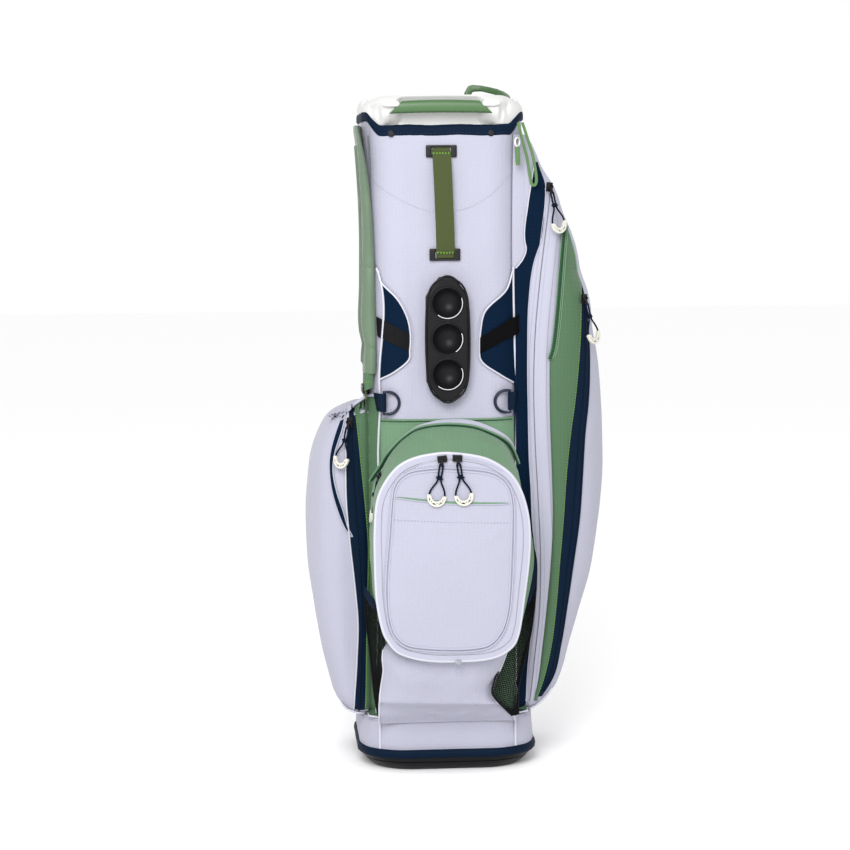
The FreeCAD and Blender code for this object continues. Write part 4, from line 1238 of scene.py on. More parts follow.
def build_door():
    def shell_y(x, z, f):
        return -203.0 + 132 * max(0.0, f - 0.985) ** 0.8

    disc("door_shell", DOOR, (1.0, 0.997, 0.992, 0.985, 0.97, 0.94, 0.9, 0.8, 0.6, 0.3), shell_y, -190.4,
         "white_tape", "front_door", ["front_pocket_door"])
    steps = [1.0, 0.99, 0.97, 0.94] + [0.94 * (1 - k / 26) for k in range(1, 26)]
    disc("door_panel", PANEL, steps, lambda x, z, f: panel_y(x, z, f) + (f > 0.995), -202.0,
         "white_fabric", "front_door")
    for by, y, radius, name in ((-3.0, -203.6, 1.25, "outer"), (1.0, -204.4, 1.35, "inner")):
        line = [(x, y, z) for x, z in shrink(PANEL, by)]
        tube("door_piping_" + name, [line], radius, "white_tape", "front_door", closed=True)
    edge = [(x, -200.6, z) for x, z in shrink(DOOR, 1.2)]
    tube("door_edge_piping", [edge], 2.4, "white_piping", "front_door", closed=True)
    band = [(x, -203.4, z) for x, z in shrink(PANEL, -6.2)]
    stitches("door_band_stitches", [band + band[:1]], "thread_white", "front_door",
             length=2.4, gap=1.8, radius=0.3)
    # closed coil of the zip across the top, where its two sliders run
    coil = [(MID[0] + 1 + 127 * math.sin(a), -203.2, 315 + 127 * math.cos(a))
            for a in np.radians(np.linspace(-31, 31, 70))]
    tube("front_zip_coil", [coil], 0.75, "white_tape", "front_door", nodes=["front_zip_tape"])
    seam = [[(x, -203.3, z) for x, z in shrink(DOOR, 9.5)]]
    tube("door_zip_seam", seam, 0.35, "thread_white", "front_door", closed=True)

    # slip pocket: its mouth shows a green lining, and a hem is stitched below
    grid = []
    for i, (x, z) in enumerate(SLIT_LINE):
        t = i / (len(SLIT_LINE) - 1)
        tall = 2.6 * math.sin(math.pi * t) ** 0.5 + 0.2
        grid.append([(x, panel_y(x, z) - 0.5 - 0.5 * k, z + (1 - k) * tall - 0.6) for k in ACROSS])
    slab("slip_pocket_lining", grid, (0, 0.8, 0), "green_fabric", "front_door")
    tube("slip_pocket_edge", [[(x, panel_y(x, z) - 0.7, z - 1.5) for x, z in SLIT_LINE]], 0.9, "white_fabric",
         "front_door")
    hem = smooth_line([(-79, 361.5), (-30, 358), (30, 355.5), (75, 354.5)])
    hem = [(x, panel_y(x, z) - 0.25, z) for x, z in hem]
    stitches("slip_pocket_hem", [hem], "thread_white", "front_door", length=2.6, gap=1.8, radius=0.4)

    def stop(bm):
        box_into(bm, 1, 9, -206.2, -203.2, 166.6, 170.2)
        box_into(bm, 4, 7, -206.8, -203.0, 165.2, 171.4)

    rigid("lower_zip_stop", stop, Matrix.Identity(4), "stay_metal", "front_door", bevel=0.5)


build_door()

ARCH = smooth_line([(-100, 385), (-97, 400), (-87, 419), (-78.5, 436), (-62, 457), (-44, 470), (-24, 475),
                    (4.7, 476.5), (37, 472.5), (64.5, 461), (82, 446.5), (93, 420), (99, 395)])


HOOD_CREASES = ((-60, 446, -84, 405, 5, 2.4), (58, 462, 90, 405, 5, 2.6), (-44, 452, -10, 462, 4, -1.6),
                (34, 452, 50, 460, 4, -1.6))


def build_hood():
    """Green hood and walls between the door and the tube; they end above the foot panel."""
    lower = [(100, 345), (99, 290), (92, 235), (84, 200), (62, 181), (0, 176), (-62, 181), (-86, 200),
             (-99, 250), (-102, 310), (-102, 350)]
    back_line = by_angle(resample(list(ARCH) + lower, count=RIM, closed=True))
    front_line = shrink(DOOR, 3.2)
    shown = list(range(141, RIM)) + list(range(100))
    grid = []
    for t in (i / 25 for i in range(26)):
        belly = math.sin(math.pi * t)
        row = []
        for k in shown:
            (fx, fz), (bx, bz) = front_line[k], back_line[k]
            by = tube_front(max(-100, min(100, bx)), bz, FRONT_OFF + 1.0)[1]
            x, z = fx + (bx - fx) * t, fz + (bz - fz) * t
            y = -190.2 + (by + 190.2) * (t + 0.10 * belly)
            out = outward(x, z, MID)
            rise = 5.0 * belly ** 0.8 * step(190, 265, z)
            rise += folds(x, y, z, 31.0, 1.7, (30, 36, 30)) * belly ** 0.5
            rise += creases(x, z, HOOD_CREASES) * belly
            row.append((x + out.x * rise, y - 0.25 * rise * (z > 400), z + out.y * rise))
        grid.append(row)
    depth = [[((MID[0] - x) * 0.025, 0.0, (MID[1] - z) * 0.013) for x, y, z in row] for row in grid]
    slab("pocket_hood", grid, depth, "green_fabric", "root", ["ball_pocket", "front_pocket_frame"])


def build_ball_zip():
    """Arched zip of the ball pocket, where the hood meets the tube."""
    zip_line, cover, tape = [], [], []
    for x, z in resample(ARCH, count=110):
        px, py, pz = tube_front(x, z, FRONT_OFF + 3.6)
        zip_line.append((px, py, pz))
        out = outward(x, z, MID)
        cover.append((px + out.x * 2.8, py + 0.4, pz + out.y * 2.8))
        tape.append([(px - out.x * 1.6, py + 0.2, pz - out.y * 1.6),
                     (px + out.x * 1.6, py + 0.6, pz + out.y * 1.6)])
    tube("ball_zip_coil", [zip_line], 1.25, "green_tape")
    tube("ball_zip_cover", [cover], 1.5, "green_fabric")
    slab("ball_zip_tape", tape, (0, 1.2, 0), "green_tape")

    # white crescent above the zip, broad on the right and thin down the left side
    grid = []
    for i, (x, z) in enumerate(resample(ARCH, count=150)):
        t = i / 149
        wide = 0.9 + 5.2 * step(0.30, 0.56, t) * step(1.0, 0.62, t)
        if t > 0.9:
            wide *= max(0.02, (1 - t) / 0.1)
        out = outward(x, z, MID)
        grid.append([tube_front(x + out.x * d, min(YOKE_TOP - 0.7, z + out.y * d), FRONT_OFF + 2.3)
                     for d in (3.6 + wide * k for k in ACROSS)])
    slab("hood_crescent", grid, (0, 1.0, 0), "white_tape")


build_hood()
build_ball_zip()


def build_yoke():
    """Green panel on the tube behind the front pocket."""
    patch("green_yoke", lambda z: SEAM_L(z) + 1.0, lambda z: SEAM_R(z) - 1.0, 75, YOKE_TOP, FRONT_OFF, 1.0,
          "green_fabric", columns=70, rows=140)

    def level(drop, off):
        return [tube_front(x, YOKE_TOP - drop(x), FRONT_OFF + off) for x in range(-88, 90, 4)]

    tube("yoke_fold", [level(lambda x: 0.5 + 1.2 * (1 - (x / 90) ** 2), 0.7)], 1.3, "green_fabric")
    tube("yoke_seam", [level(lambda x: 3.6, 0.2)], 0.5, "green_tape")
    stitches("yoke_top_stitches", [level(lambda x: 6.5, 0.3)], "green_webbing", length=2.4, gap=1.6,
             radius=0.35)


build_yoke()

# edges of the foot panel, x over z
FOOT_L = along([(-97, 66), (-97.5, 79), (-97.5, 108), (-95, 130), (-92.5, 150), (-93.5, 171), (-91, 181),
                (-84, 188)])
FOOT_R = along([(90, 66), (87, 77), (70, 96), (55.5, 115), (56, 119), (60, 132), (66, 148), (80, 186),
                (86, 200)])
FOOT_CREASES = ((-92, 168, -60, 128, 6, 1.6), (-60, 96, -4, 78, 5, 3.4), (48, 96, 2, 78, 5, 3.4))


def build_foot_panel():
    """White panel below the door: it hangs over, folds under and is sewn to the tube."""
    shape = [(186, -176), (176, -184), (165, -186), (150, -183), (134, -178), (118, -172), (109, -168.5),
             (104.5, -166), (102, -162), (101, -156), (97, -149), (91, -143), (84, -137), (78, -131),
             (72, -124), (69, -121.5)]
    grid = []
    for z, y in smooth_line(shape, steps=5):
        x0, x1 = FOOT_L(z), FOOT_R(z)
        row = []
        for j in range(60):
            u = j / 59
            x = x0 + (x1 - x0) * u
            v = abs(2 * u - 1)
            tip = 6.0 * (0.5 - u) * step(96, 104, z) * step(125, 108, z)
            hollow = 3.2 * math.exp(-((x + 12) / 34) ** 2 - ((z - 84) / 9) ** 2)
            wrinkle = folds(x, 0, z, 44.0, 1.5, (40, 60, 26)) + creases(x, z, FOOT_CREASES)
            back = 26.0 * v ** 5 * step(80, 130, z)
            row.append((x, y + back + hollow - wrinkle * (1 - v ** 6), z + tip))
        grid.append(row)
    slab("pocket_foot", grid, (0, 2.0, 0), "white_fabric", "root", ["front_pocket_foot"])
    for name, column in (("left", 0), ("right", -1)):
        edge = [(x, y - 0.4, z) for x, y, z in (row[column] for row in grid[4:])]
        tube("foot_piping_" + name, [edge], 1.3, "white_piping")
    row = [(x, tube_front(x, 72, 7.0)[1], 73.2 - 0.8 * math.sin(x / 20)) for x in range(-88, 86, 4)]
    stitches("foot_stitches", [row], "thread_white", length=2.6, gap=1.8, radius=0.4)


build_foot_panel()


def net(name, corners, rows, columns, node):
    """Real net: crossing threads of black mesh over a curved patch; corners(u, v) gives its points."""
    points = [corners(j / (columns - 1), i / (rows - 1)) for i in range(rows) for j in range(columns)]
    mesh = bpy.data.meshes.new(name)
    mesh.from_pydata([Vector(p) * MM for p in points], [], grid_faces(rows, columns))
    obj = add(bpy.data.objects.new(name, mesh), "black_mesh", "root", [node])
    mod = obj.modifiers.new("net", "WIREFRAME")
    mod.thickness, mod.use_even_offset = 0.0015, False


def build_mesh_pockets():
    right_in = along([(89, 76), (71, 96), (56, 117), (59, 132), (65, 148), (80, 183), (92, 210), (101, 238),
                      (110, 290), (113, 312)])
    right_out = along([(93, 76), (94.5, 120), (99.5, 139), (105.5, 162), (112, 185), (117, 215), (121, 255),
                       (121, 290), (116, 312)])
    left_out = along([(-97, 78), (-101, 102), (-106, 157), (-113, 227), (-114, 268)])
    left_in = along([(-96, 78), (-95, 115), (-92, 171), (-95, 206), (-103, 268)])

    def right_depth(x):
        return -108 - 0.85 * (121 - x)

    def right(u, v):
        z = 80 + 230 * v
        x = right_in(z) - 2 + (right_out(z) + 2 - right_in(z)) * u
        return x, right_depth(x) - 3 * math.sin(math.pi * u), z

    def left(u, v):
        z = 80 + 162 * v
        x = left_out(z) - 1 + (left_in(z) + 3 - left_out(z)) * u
        y = -106 - 40 * u ** 0.8 - 6 * math.sin(math.pi * v) * u + 18 * step(110, 80, z) * u
        return x, y, z

    net("right_net", right, 84, 16, "right_mesh_pocket")
    net("left_net", left, 60, 12, "left_mesh_pocket")
    for name, point, sides in (("right", right, (0.0, 1.0)), ("left", left, (1.0, 0.0))):
        sides = [[point(u, v) for v in np.linspace(0, 1, 50)] for u in sides]
        tube(name + "_net_binding", sides, 1.3, "black_webbing")

    # green wall beside the door, and the navy hems across the top of each net
    wall_edge = along([(99, 208), (107, 236), (113.5, 262), (117.5, 290), (116, 313), (112, 336)])
    grid = []
    for z in np.linspace(208, 336, 40):
        grid.append([(x, right_depth(x) - 5 - 2 * math.sin(math.pi * u), z)
                     for u, x in ((u, 88 + (wall_edge(z) - 88) * u) for u in np.linspace(0, 1, 10))])
    slab("right_green_wall", grid, (0, 1.6, 0), "green_fabric")
    along_hem = np.linspace(0, 1, 30)
    upper = [(117.5 - 10.5 * t, 292 - 56 * t) for t in along_hem]
    lower = [(121.3 - 14.3 * t ** 2.5, 285 - 58 * t ** 0.8) for t in along_hem]
    strip("right_net_hem", upper, lower, lambda x, z, k: (x, right_depth(x) - 4 - math.sin(math.pi * k), z),
          1.4, "navy_tape")
    grid = []
    for t in along_hem:
        x = -116 + 24 * t
        z = 262 - 30 * t ** 0.75
        y = -108 - 40 * t ** 0.8
        grid.append([(x, y - 2.0, z + 1), (x, y - 3.4, z - 4), (x, y - 3.2, z - 9), (x, y - 2.0, z - 15)])
    slab("left_net_hem", grid, (0, 1.4, 0), "navy_tape")


build_mesh_pockets()


# ---------------------------------------------------------------- side pockets
class Caster:
    """Looks up a piece's front surface, so that what is sewn on it follows it."""

    def __init__(self, obj):
        bpy.context.view_layer.update()
        self.tree = BVHTree.FromObject(obj, bpy.context.evaluated_depsgraph_get())

    def cast(self, x, z):
        found = []
        for dx, dz in ((0, 0), (2.2, 0), (-2.2, 0), (0, 4), (0, -4)):
            hit = self.tree.ray_cast(Vector(((x + dx) * MM, -0.5, (z + dz) * MM)), Vector((0, 1, 0)))[0]
            if hit is not None:
                found.append(hit.y / MM)
        return found

    def __call__(self, x, z, off=0.0):
        """Surface point at (x, z); a point past the piece's edge is brought back to it."""
        for shift in range(0, 40):
            inner = x - math.copysign(shift, x)
            found = self.cast(inner, z)
            if len(found) > 2:
                return inner, sum(found) / len(found) - off, z
        return x, -96.0 - off, z


def half_section(plan, near, far, radius, turn):
    """One face of a pocket's section, from the tube outward and round the corner."""
    xs, ys = zip(*sorted((abs(x), y) for x, y in plan))
    line = [(near + (far - radius - near) * k / 20, 0.0) for k in range(21)]
    for a in (math.pi / 2 * k / 12 for k in range(1, 13)):
        line.append((far - radius + radius * math.sin(a), radius * (1 - math.cos(a))))
    return [(x, float(np.interp(x, xs, ys)) + turn * back) for x, back in line]


def depth_at(plan, x):
    xs, ys = zip(*sorted((abs(px), y) for px, y in plan))
    return float(np.interp(x, xs, ys))


def pocket_shell(name, inner, edge, plans, z0, z1, nodes, seed, rows=110):
    """A soft pocket body. edge gives x over z, plans its front and back y over x."""
    sign, near, columns = (1 if inner > 0 else -1), abs(inner), 84
    loops = []
    for i in range(rows):
        z = z0 + (z1 - z0) * i / (rows - 1)
        far = max(abs(edge(z)), near + 3.0)
        y_front, y_back = (depth_at(plan, far) for plan in plans)
        end = step(0.0, 1.0, min(i, rows - 1 - i) / 7)
        radius = max(1.0, min(30.0, 0.85 * (far - near), 0.45 * (y_back - y_front)))
        path = half_section(plans[0], near, far, radius, 1)
        path += reversed(half_section(plans[1], near, far, radius, -1))
        middle = (near, (y_front + y_back) / 2)
        loop = []
        for k, (x, y) in enumerate(resample(path, count=columns)):
            t = k / (columns - 1)
            slack = math.sin(math.pi * t) ** 0.5 * end
            fold = folds(sign * x, y, z, seed, 1.5, (46, 40, 110)) * slack
            d = Vector((x - middle[0], y - middle[1]))
            d = d.normalized() if d.length > 1 else Vector((1, 0))
            move = fold - (1 - end) * 4.0
            loop.append((sign * (x + d.x * move), y + d.y * move, z))
        loops.append(loop)
    piece = loft(name, loops, "white_fabric", "root", nodes)
    soften(piece, 5)
    return piece


PRESSURE_FRAMES = 14
MOST_MOVED = 2.5        # how far, in mm, the simulation may move the cloth


def apply_modifiers(piece):
    graph = bpy.context.evaluated_depsgraph_get()
    mesh = bpy.data.meshes.new_from_object(piece.evaluated_get(graph))
    piece.modifiers.clear()
    piece.data = mesh


def padded_pocket(piece):
    """Inflates a pocket a little with cloth simulation, so that its cloth hangs as cloth does."""
    bpy.context.view_layer.update()
    apply_modifiers(piece)
    mod = piece.modifiers.new("remesh", "REMESH")
    mod.mode, mod.voxel_size = "VOXEL", 6.0 * MM
    apply_modifiers(piece)
    before = np.array([v.co for v in piece.data.vertices])
    cloth = piece.modifiers.new("cloth", "CLOTH")
    cloth.settings.quality = 5
    cloth.settings.use_pressure = True
    cloth.settings.uniform_pressure_force = 3.0
    cloth.settings.effector_weights.gravity = 0.0
    cloth.settings.tension_stiffness = 25
    cloth.settings.bending_stiffness = 2.0
    cloth.point_cache.frame_start, cloth.point_cache.frame_end = 1, PRESSURE_FRAMES
    for number in range(1, PRESSURE_FRAMES + 1):
        scene.frame_set(number)
    graph = bpy.context.evaluated_depsgraph_get()
    moved = np.array([v.co for v in piece.evaluated_get(graph).data.vertices])
    piece.modifiers.clear()
    shift = moved - before
    size = np.linalg.norm(shift, axis=1)
    shift *= np.minimum(1.0, MOST_MOVED * MM / np.maximum(size, 1e-9))[:, None]
    piece.data.vertices.foreach_set("co", (before + shift).astype(np.float32).ravel())
    piece.data.update()
    scene.frame_set(1)
    if not piece.data.materials:
        piece.data.materials.append(MATERIALS[piece["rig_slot"]])
    soften(piece, 6)
    subdivide(piece)
    piece.data.shade_smooth()


SEAM_OUT = 92           # about where the tube's front seams run, from its middle


def corner_surface(front, side, reach):
    """Surface that bridges from the tube's front seam to a side pocket's front."""
    top = 860 if side > 0 else 495

    def corner(x, z, off=0.0):
        out = abs(x)
        tube_y = tube_front(side * min(out, SEAM_OUT), z, FRONT_OFF)[1]
        pocket_y = front(side * max(out, SEAM_OUT + reach), min(z, top))[1]
        t = min(1.0, max(0.0, (out - SEAM_OUT) / reach))
        return x, tube_y * (1 - t) + pocket_y * t - off, z
    return corner


LEFT_SIL = along([(-106, 503), (-122, 497), (-143, 489), (-152, 484), (-161, 473), (-171, 454), (-181, 426),
                  (-185, 392), (-187, 369), (-188.3, 332), (-187, 283), (-180, 226), (-171, 169), (-161, 126),
                  (-151, 95), (-140, 80), (-126, 70)])
RIGHT_SIL = along([(110, 876), (122.5, 849), (134.5, 821), (151, 797), (163.5, 762), (178, 730), (185, 706),
                   (188.5, 684), (200, 652), (203, 640), (207, 603), (213, 575), (220, 512), (223.5, 455),
                   (225, 400), (223, 378), (214.5, 327), (204, 270), (185.5, 213), (170, 162), (156, 119),
                   (146, 100), (134, 86), (122, 76)])
LEFT_PLAN = ([(-98, -88), (-103, -93), (-108, -98), (-144, -98), (-170, -84), (-187, -62), (-192, -40)],
             [(-98, 90), (-145, 90), (-168, 80), (-188, 55), (-192, 45)])
RIGHT_PLAN = ([(98, -90), (104, -96), (111, -102), (140, -103), (170, -92), (200, -76), (224, -45),
               (232, -20)],
              [(98, 96), (170, 96), (200, 84), (226, 50), (232, 30)])


def build_left_side():
    shell = pocket_shell("left_pocket_body", -100, LEFT_SIL, LEFT_PLAN, 72, 503, ["left_pocket"], 61.0)
    padded_pocket(shell)
    front = Caster(shell)

    lime = along([(-125, 503), (-122, 471), (-117, 416), (-112, 361), (-109, 313), (-111, 237), (-113, 167),
                  (-115, 98), (-116, 76)])
    navy = along([(-131, 500), (-135, 471), (-137, 430), (-137, 375), (-133, 320), (-126, 250), (-123, 209),
                  (-125, 153), (-129, 97), (-130, 76)])

    corner = corner_surface(front, -1, 14)

    # the gusset's darker green is painted shade
    patch("left_gusset_panel", lime, lambda z: SEAM_L(z) - 1.2, 76, 506, 1.6, 2.0, "green_fabric_painted_shade", corner,
          columns=26, rows=120, nodes=["left_gusset"], puff=1.2, slant=13.0)
    # white flap folded over the pocket's top
    upper = smooth_line([(-160, 488), (-146, 494), (-131, 502.5), (-124, 508), (-114, 514.5), (-103, 518.5),
                         (-92.5, 521)])
    lower = smooth_line([(-158, 485.5), (-145, 487), (-134, 493), (-124, 503), (-114, 510), (-106, 514),
                         (-93, 516)])

    def on_flap(x, z, share):
        return x, corner(x, min(z, 492), 3.0 + 1.2 * math.sin(math.pi * share))[1], z

    strip("left_top_flap", upper, lower, on_flap, 2.0, "white_tape", across=(0, 0.25, 0.5, 0.75, 1))
    patch("left_zip_strip", lambda z: navy(z) - 0.5, lambda z: lime(z) + 0.5, 76, 500, 1.6, 2.0, "navy_tape",
          corner, columns=14, rows=120, puff=0.8)
    levels = np.linspace(80, 498, 110)
    stitches("left_lime_stitches", [[corner(lime(z) + 1.2, z, 3.3) for z in levels]], "thread_lime",
             length=2.6, gap=1.4, radius=0.75)
    middle = [corner(lime(z) * 0.45 + navy(z) * 0.55, z, 3.0) for z in levels]
    tube("left_zip_coil", [middle], 1.0, "navy_tape", nodes=["side_zip_tapes"])
    tube("left_strip_piping", [[corner(navy(z) - 0.6, z, 2.4) for z in levels]], 1.1, "white_piping")
    edge = smooth_line([(-149, 94), (-142, 84), (-133, 78.5), (-122, 76.5), (-108, 75), (-97, 73.5)])
    tube("left_foot_piping", [[corner(x, z, 4.6) for x, z in edge]], 1.4, "white_piping")

    # slash pocket: a dark mouth between two bound edges
    outer = smooth_line([(-139, 492), (-148.5, 472), (-157.5, 441), (-159.5, 416), (-156.5, 388), (-149, 360),
                         (-139.5, 336), (-130.5, 324)])
    inner = smooth_line([(-137, 492), (-142.5, 471), (-152.5, 440), (-155.5, 415), (-151, 387), (-142.5, 360),
                         (-136.5, 338), (-130, 324)])
    strip("slash_pocket_mouth", outer, inner, lambda x, z, share: front(x, z, 1.5), 1.2, "navy_fabric")
    tube("slash_pocket_edges", [[front(x - 0.6, z, 1.7) for x, z in outer],
                                [front(x + 0.6, z, 1.6) for x, z in inner]], 1.0, "white_fabric")
    # welt along the pocket's top front edge
    welt = [front(x, z, 1.0) for x, z in smooth_line([(-131, 496), (-146, 488), (-163, 479)])]
    tube("left_top_welt", [welt], 1.2, "white_fabric")


build_left_side()


def build_right_side():
    shell = pocket_shell("right_pocket_body", 100, RIGHT_SIL, RIGHT_PLAN, 74, 874,
                         ["right_apparel_pocket", "right_rear_pocket"], 71.0, rows=170)
    padded_pocket(shell)
    front = Caster(shell)

    corner = corner_surface(front, 1, 18)

    navy_l = along([(122.5, 831), (112.5, 771), (108.5, 726), (110.5, 712), (104, 697), (94, 685), (93, 660),
                    (93, 540), (93.5, 300), (92.6, 76)])
    navy_r = along([(128, 831), (137, 800), (136, 773), (131, 726), (121, 696), (114, 645), (112, 577),
                    (112.5, 481), (113.5, 426), (115.5, 385), (117, 340), (121.5, 290), (122, 255),
                    (119, 215), (113.5, 170), (109, 120), (107.5, 76)])
    patch("right_gusset_panel", navy_l, navy_r, 318, 831, 2.2, 2.0, "navy_fabric", corner, columns=20,
          rows=130, nodes=["right_gusset"], puff=0.8)
    # the lower gusset's darker green is painted shade
    patch("right_gusset_lower", navy_l, navy_r, 77, 322, 1.4, 1.6, "green_fabric_painted_shade", corner, columns=20, rows=60)
    corner_l = along([(94, 76), (95, 120), (100, 139), (106, 162), (113, 180)])
    patch("right_gusset_corner", corner_l, navy_r, 77, 180, 3.4, 1.6, "navy_fabric", corner, columns=12,
          rows=40)
    tube("right_gusset_cord", [[corner(corner_l(z) + 0.4, z, 8.0) for z in np.linspace(76, 112, 20)]], 1.1,
         "white_piping")
    patch("right_side_panel", lambda z: SEAM_R(z) + 0.8, lambda z: min(navy_l(z) + 0.5, RIGHT_SIL(z) - 4),
          686, 868, 1.2, 2.0, "white_fabric", corner, columns=20, rows=80, puff=1.4, rough=0.15)

    # the tall pocket's white zip band
    band_r = along([(146, 812), (152, 760), (156, 720), (153, 672), (150, 644), (144, 590), (140, 567),
                    (141.5, 481), (144, 401), (145, 342), (142, 284), (136.5, 226), (130, 168), (122, 110),
                    (116, 84)])
    centre = along([(145, 800), (143, 786), (135, 726), (127, 658), (122, 604), (119.5, 536), (121, 454),
                    (125, 371), (128, 290), (126, 215), (119, 150), (112, 84)])
    patch("apparel_zip_band", navy_r, lambda z: min(band_r(z), centre(z) + 17), 79, 800, 2.4, 2.0,
          "white_tape", corner, columns=16, rows=170, puff=1.2)
    levels = np.linspace(90, 796, 170)
    tube("apparel_zip_coil", [[corner(centre(z), z, 3.9) for z in levels]], 0.6, "thread_grey")
    tube("apparel_zip_edges", [[corner(centre(z) - 5.5, z, 3.3) for z in levels],
                               [corner(centre(z) + 5.5, z, 3.3) for z in levels]], 0.45, "white_tape")
    tube("apparel_band_piping", [[corner(navy_r(z), z, 2.9) for z in levels]], 0.9, "white_tape")

    # the green accessory pocket with its own zip
    green_l = along([(167, 746), (164, 741), (160, 699), (154, 640), (148.5, 590), (142, 565), (141.8, 556),
                     (142, 481), (144.5, 401), (145.3, 342), (142.5, 284), (137, 226), (130.5, 168),
                     (122.5, 110), (119, 96)])
    shared = [(190.5, 664), (186.5, 589), (178.5, 506), (171.5, 459), (165.2, 401), (160.8, 342),
              (155.3, 284), (150.2, 226), (142.8, 168), (132.9, 124), (124, 96)]
    green_r = along([(167.5, 746), (178, 728), (188, 706), (193, 684)] + shared)
    # the accessory pocket's darker green is painted shade
    patch("accessory_panel", green_l, lambda z: min(green_r(z), RIGHT_SIL(z) - 5), 90, 744, 2.6, 2.4,
          "green_fabric_painted_shade", front, columns=30, rows=190, nodes=["right_accessory_pocket"], puff=4.5)
    zip_line = smooth_line([(166, 744), (163.5, 738), (159.2, 698), (153.3, 632), (147.8, 584), (142.5, 564)],
                           steps=12)
    tube("accessory_zip_coil", [[front(x - 0.8, z, 5.0) for x, z in zip_line]], 1.9, "green_tape")
    teeth = [[front(x - 2.6, z + 0.5, 6.0), front(x + 1.0, z - 0.5, 6.6)]
             for x, z in resample(zip_line, step=3.4)]
    tube("accessory_zip_teeth", teeth, 0.5, "green_webbing")
    tube("accessory_zip_cover", [[front(x - 3.4, z, 4.2) for x, z in zip_line],
                                 [front(x + 2.6, z, 5.6) for x, z in zip_line],
                                 [front(x + 5.0, z, 5.9) for x, z in zip_line[2:-2]]], 0.8, "green_fabric")
    edge = smooth_line([(163, 745), (167, 742), (173, 727), (179.5, 705), (183, 684)])
    tube("accessory_top_piping", [[front(x, z, 4.6) for x, z in edge]], 1.0, "green_fabric")

    # the navy zip strip outside it
    strip_l = along([(189, 643)] + shared)
    strip_r = along([(190.5, 664), (195, 645), (200, 602), (199, 505), (193.5, 459), (189.5, 401),
                     (184.8, 342), (176, 284), (167, 226), (157.6, 168), (146.8, 124), (130, 96)])
    patch("accessory_zip_strip", strip_l, strip_r, 96, 664, 2.4, 2.2, "navy_tape", front, columns=14,
          rows=170, puff=0.8)
    levels = np.linspace(104, 658, 150)
    stitches("lime_seam_stitches", [[front(green_r(z) - 1.2, z, 5.2) for z in levels]], "thread_lime",
             length=2.6, gap=1.4, radius=0.8)
    tube("accessory_zip_line", [[front(strip_l(z) * 0.42 + strip_r(z) * 0.58, z, 3.6) for z in levels],
                                [front(strip_r(z) - 1.4, z, 3.2) for z in levels]], 0.7, "navy_tape")
    edge = smooth_line([(95, 75), (107, 77), (118, 80), (127, 86), (136, 95), (145, 107)], steps=10)
    tube("right_foot_piping", [[corner(x, z, 5.0) for x, z in edge]], 1.4, "white_piping")
    # piping where the white side panel meets the navy gusset
    levels = np.linspace(688, 829, 50)
    tube("right_gusset_piping", [[corner(navy_l(z), z, 3.0) for z in levels]], 0.9, "white_piping")


build_right_side()


# ---------------------------------------------------------------- shoulder strap and small fittings
def build_strap():
    """Moulded foam pad with facets and cross grooves, and the webbing below it."""
    outer = along([(-120, 882), (-118, 866), (-116.5, 845), (-114.5, 815), (-112.5, 780), (-111.5, 740),
                   (-112.5, 671), (-112.5, 600), (-109.5, 585), (-110.5, 574), (-111.5, 548)])
    inner = along([(-116.5, 882), (-112.5, 866), (-105.5, 832), (-99.5, 782), (-96, 728), (-94.5, 646),
                   (-93.5, 578), (-93.5, 548)])
    middle = Vector((-107, -72))
    loops = []
    for i in range(150):
        z = 546 + 336 * i / 149
        xo, xi = outer(z), inner(z)
        groove = 2.4 * (math.exp(-((z - 581) / 3.4) ** 2) + 0.8 * math.exp(-((z - 818) / 4.0) ** 2)
                        + 0.6 * math.exp(-((z - 690) / 3.0) ** 2))
        end = step(0, 6, i) * step(0, 6, 149 - i)
        facet = abs((z / 46.0) % 2 - 1)
        loop = []
        section = [(xi, -101.5), (xi - 3, -103.6), ((xi + xo) / 2 + 3 * facet, -104.4 - 3.2 * facet),
                   (xo + 3.0, -102.5), (xo, -98), (xo - 1.6 + 3.0 * facet, -84),
                   (xo - 2.4 + 4.6 * facet, -70), (xo - 1.6 + 1.0 * facet, -56), (xo + 0.5, -44),
                   (xo + 4, -39), (-105, -38),
                   (min(-104, xi - 0.5), -60), (min(-101.5, xi - 0.5), -80), (min(-97, xi - 0.5), -93)]
        for x, y in section:
            d = Vector((x, y)) - middle
            p = middle + d * (1 - (1 - end) * 0.05)
            n = d.normalized()
            cut = groove if y < -40 and x < xi + 1 else 0.0
            loop.append((p.x - n.x * cut * (x < -106), p.y - n.y * cut, z))
        loops.append(loop)
    pad = loft("strap_pad_foam", loops, "strap_foam", "root", ["strap_pad"])
    subdivide(pad)
    ribs = [[(outer(z) - 1.6, y + 4 * math.sin(z / 28), z) for z in np.linspace(560, 855, 90)]
            for y in (-90, -66, -50)]
    tube("strap_ribs", ribs, 0.8, "strap_foam")

    grid = []
    for i in range(40):
        t = i / 39
        z = 512 + 38 * t
        grid.append([(-109.2 - 1.4 * math.sin(math.pi * t) + 0.1 * math.sin(z * 1.7), -99 + 52 * u, z)
                     for u in np.linspace(0, 1, 12)])
    slab("strap_tail", grid, (1.6, 0, 0), "olive_webbing", "root", ["strap_webbing"])
    grid = []
    for z in np.linspace(524, 548, 26):
        grid.append([(-111.0 + 12 * u, -99.6 - 1.6 * math.sin(math.pi * u), z + 5 * u * step(536, 524, z))
                     for u in np.linspace(0, 1, 8)])
    # the darker green of this webbing end is painted shade
    slab("strap_tail_front", grid, (0, 1.4, 0), "green_fabric_painted_shade")
    stitches("strap_tail_stitches", [[(-110 + 10 * k, -101.6, 536) for k in (0, 0.25, 0.5, 0.75, 1)]],
             "thread_lime", length=2.6, gap=0.5, radius=0.7)


build_strap()


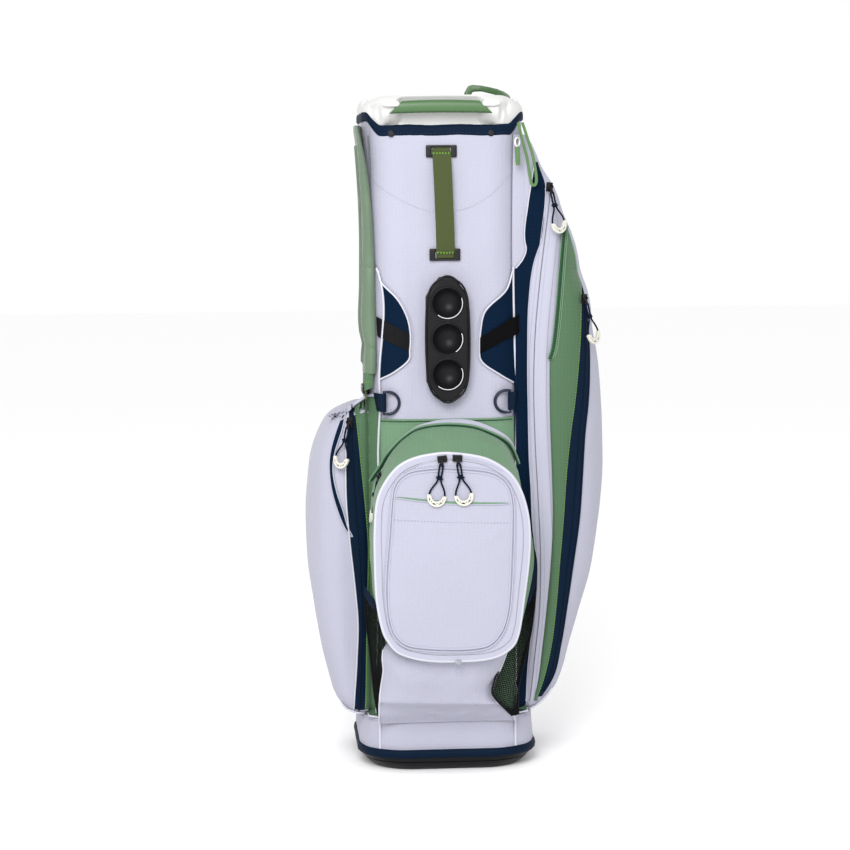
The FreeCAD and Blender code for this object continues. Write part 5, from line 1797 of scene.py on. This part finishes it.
def build_accessories():
    """Green webbing loop under the collar, and the small ring with its tab."""
    route = smooth_line([(100, -104, 884), (104.5, -109, 862), (110.4, -111.5, 838), (114.5, -112.5, 812),
                         (116.5, -112.5, 802.5), (119.8, -112.5, 799.5), (122.8, -112, 802.5),
                         (123.2, -111.5, 812), (119.2, -110, 838), (112.4, -106, 862), (106.0, -100, 884)])
    grid = []
    for k, (x, y, z) in enumerate(route):
        before, after = route[max(k - 1, 0)], route[min(k + 1, len(route) - 1)]
        side = Vector((after[2] - before[2], before[0] - after[0])).normalized()
        grid.append([(x + side.x * w, y - 0.5 * math.cos(w), z + side.y * w) for w in (-1.9, -1, 0, 1, 1.9)])
    slab("webbing_loop", grid, (0, 1.5, 0), "green_webbing", "root", ["accessory_loop"])
    grid = []
    for i in range(24):
        t = i / 23
        z = 851.5 - 25 * t
        wide = 3.3 * (1 - 0.25 * step(0.75, 1.0, t))
        front = -116.6 - 0.5 * math.sin(math.pi * t)
        grid.append([(97 + wide * u + 0.8 * t, front - 0.9 * math.cos(u * 1.4), z)
                     for u in np.linspace(-1, 1, 8)])
    slab("ring_tab_webbing", grid, (0, 1.7, 0), "green_webbing", "accessory_ring_body")

    def ring(bm):
        centre = (97, -116, 857.5)
        torus_into(bm, centre, 5.6, 1.3, "Y", steps=40, sides=12)
        bmesh.ops.rotate(bm, verts=bm.verts, cent=centre, matrix=Matrix.Rotation(math.radians(52), 3, "Z"))

    rigid("small_ring", ring, Matrix.Identity(4), "white_plastic", "accessory_ring_body", ["accessory_ring"])

    def pin(bm):
        box_into(bm, 94.6, 99.4, -119.0, -96.0, 859.8, 861.6)

    rigid("ring_keeper", pin, Matrix.Identity(4), "green_webbing", "root", bevel=0.8)


build_accessories()

# CAD nodes whose own shape is shown
for node, material in (("divider_sheets", "navy_fabric"), ("divider_grid", "grid_plastic"),
                       ("stays", "stay_metal")):
    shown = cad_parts[node]
    shown.data.materials.clear()
    shown.data.materials.append(MATERIALS[material])
    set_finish(shown, material)


# ---------------------------------------------------------------- floor and light
def build_stage():
    mesh = bpy.data.meshes.new("floor")
    mesh.from_pydata([(-12, -12, 0), (12, -12, 0), (12, 12, 0), (-12, 12, 0)], [], [(0, 1, 2, 3)])
    floor = bpy.data.objects.new("floor", mesh)
    scene.collection.objects.link(floor)
    pale = Graph("pale_floor")
    pale.finish((0.97, 0.97, 0.97, 1), Roughness=0.9, Specular_IOR_Level=0.1)
    mesh.materials.append(pale.material)

    world = bpy.data.worlds.new("studio")
    world.use_nodes = True
    world.node_tree.nodes["Background"].inputs[0].default_value = (1, 1, 1, 1)
    world.node_tree.nodes["Background"].inputs[1].default_value = 1.0
    scene.world = world
    data = bpy.data.lights.new("soft_box", "AREA")
    data.energy, data.size = 57, 1.2
    light = bpy.data.objects.new("soft_box", data)
    light.location = (-0.5, -2.2, 1.7)
    light.rotation_mode = "QUATERNION"
    light.rotation_quaternion = (Vector((0, 0, 0.6)) - Vector(light.location)).to_track_quat("-Z", "Y")
    scene.collection.objects.link(light)
    scene.view_settings.view_transform = "Standard"


build_stage()
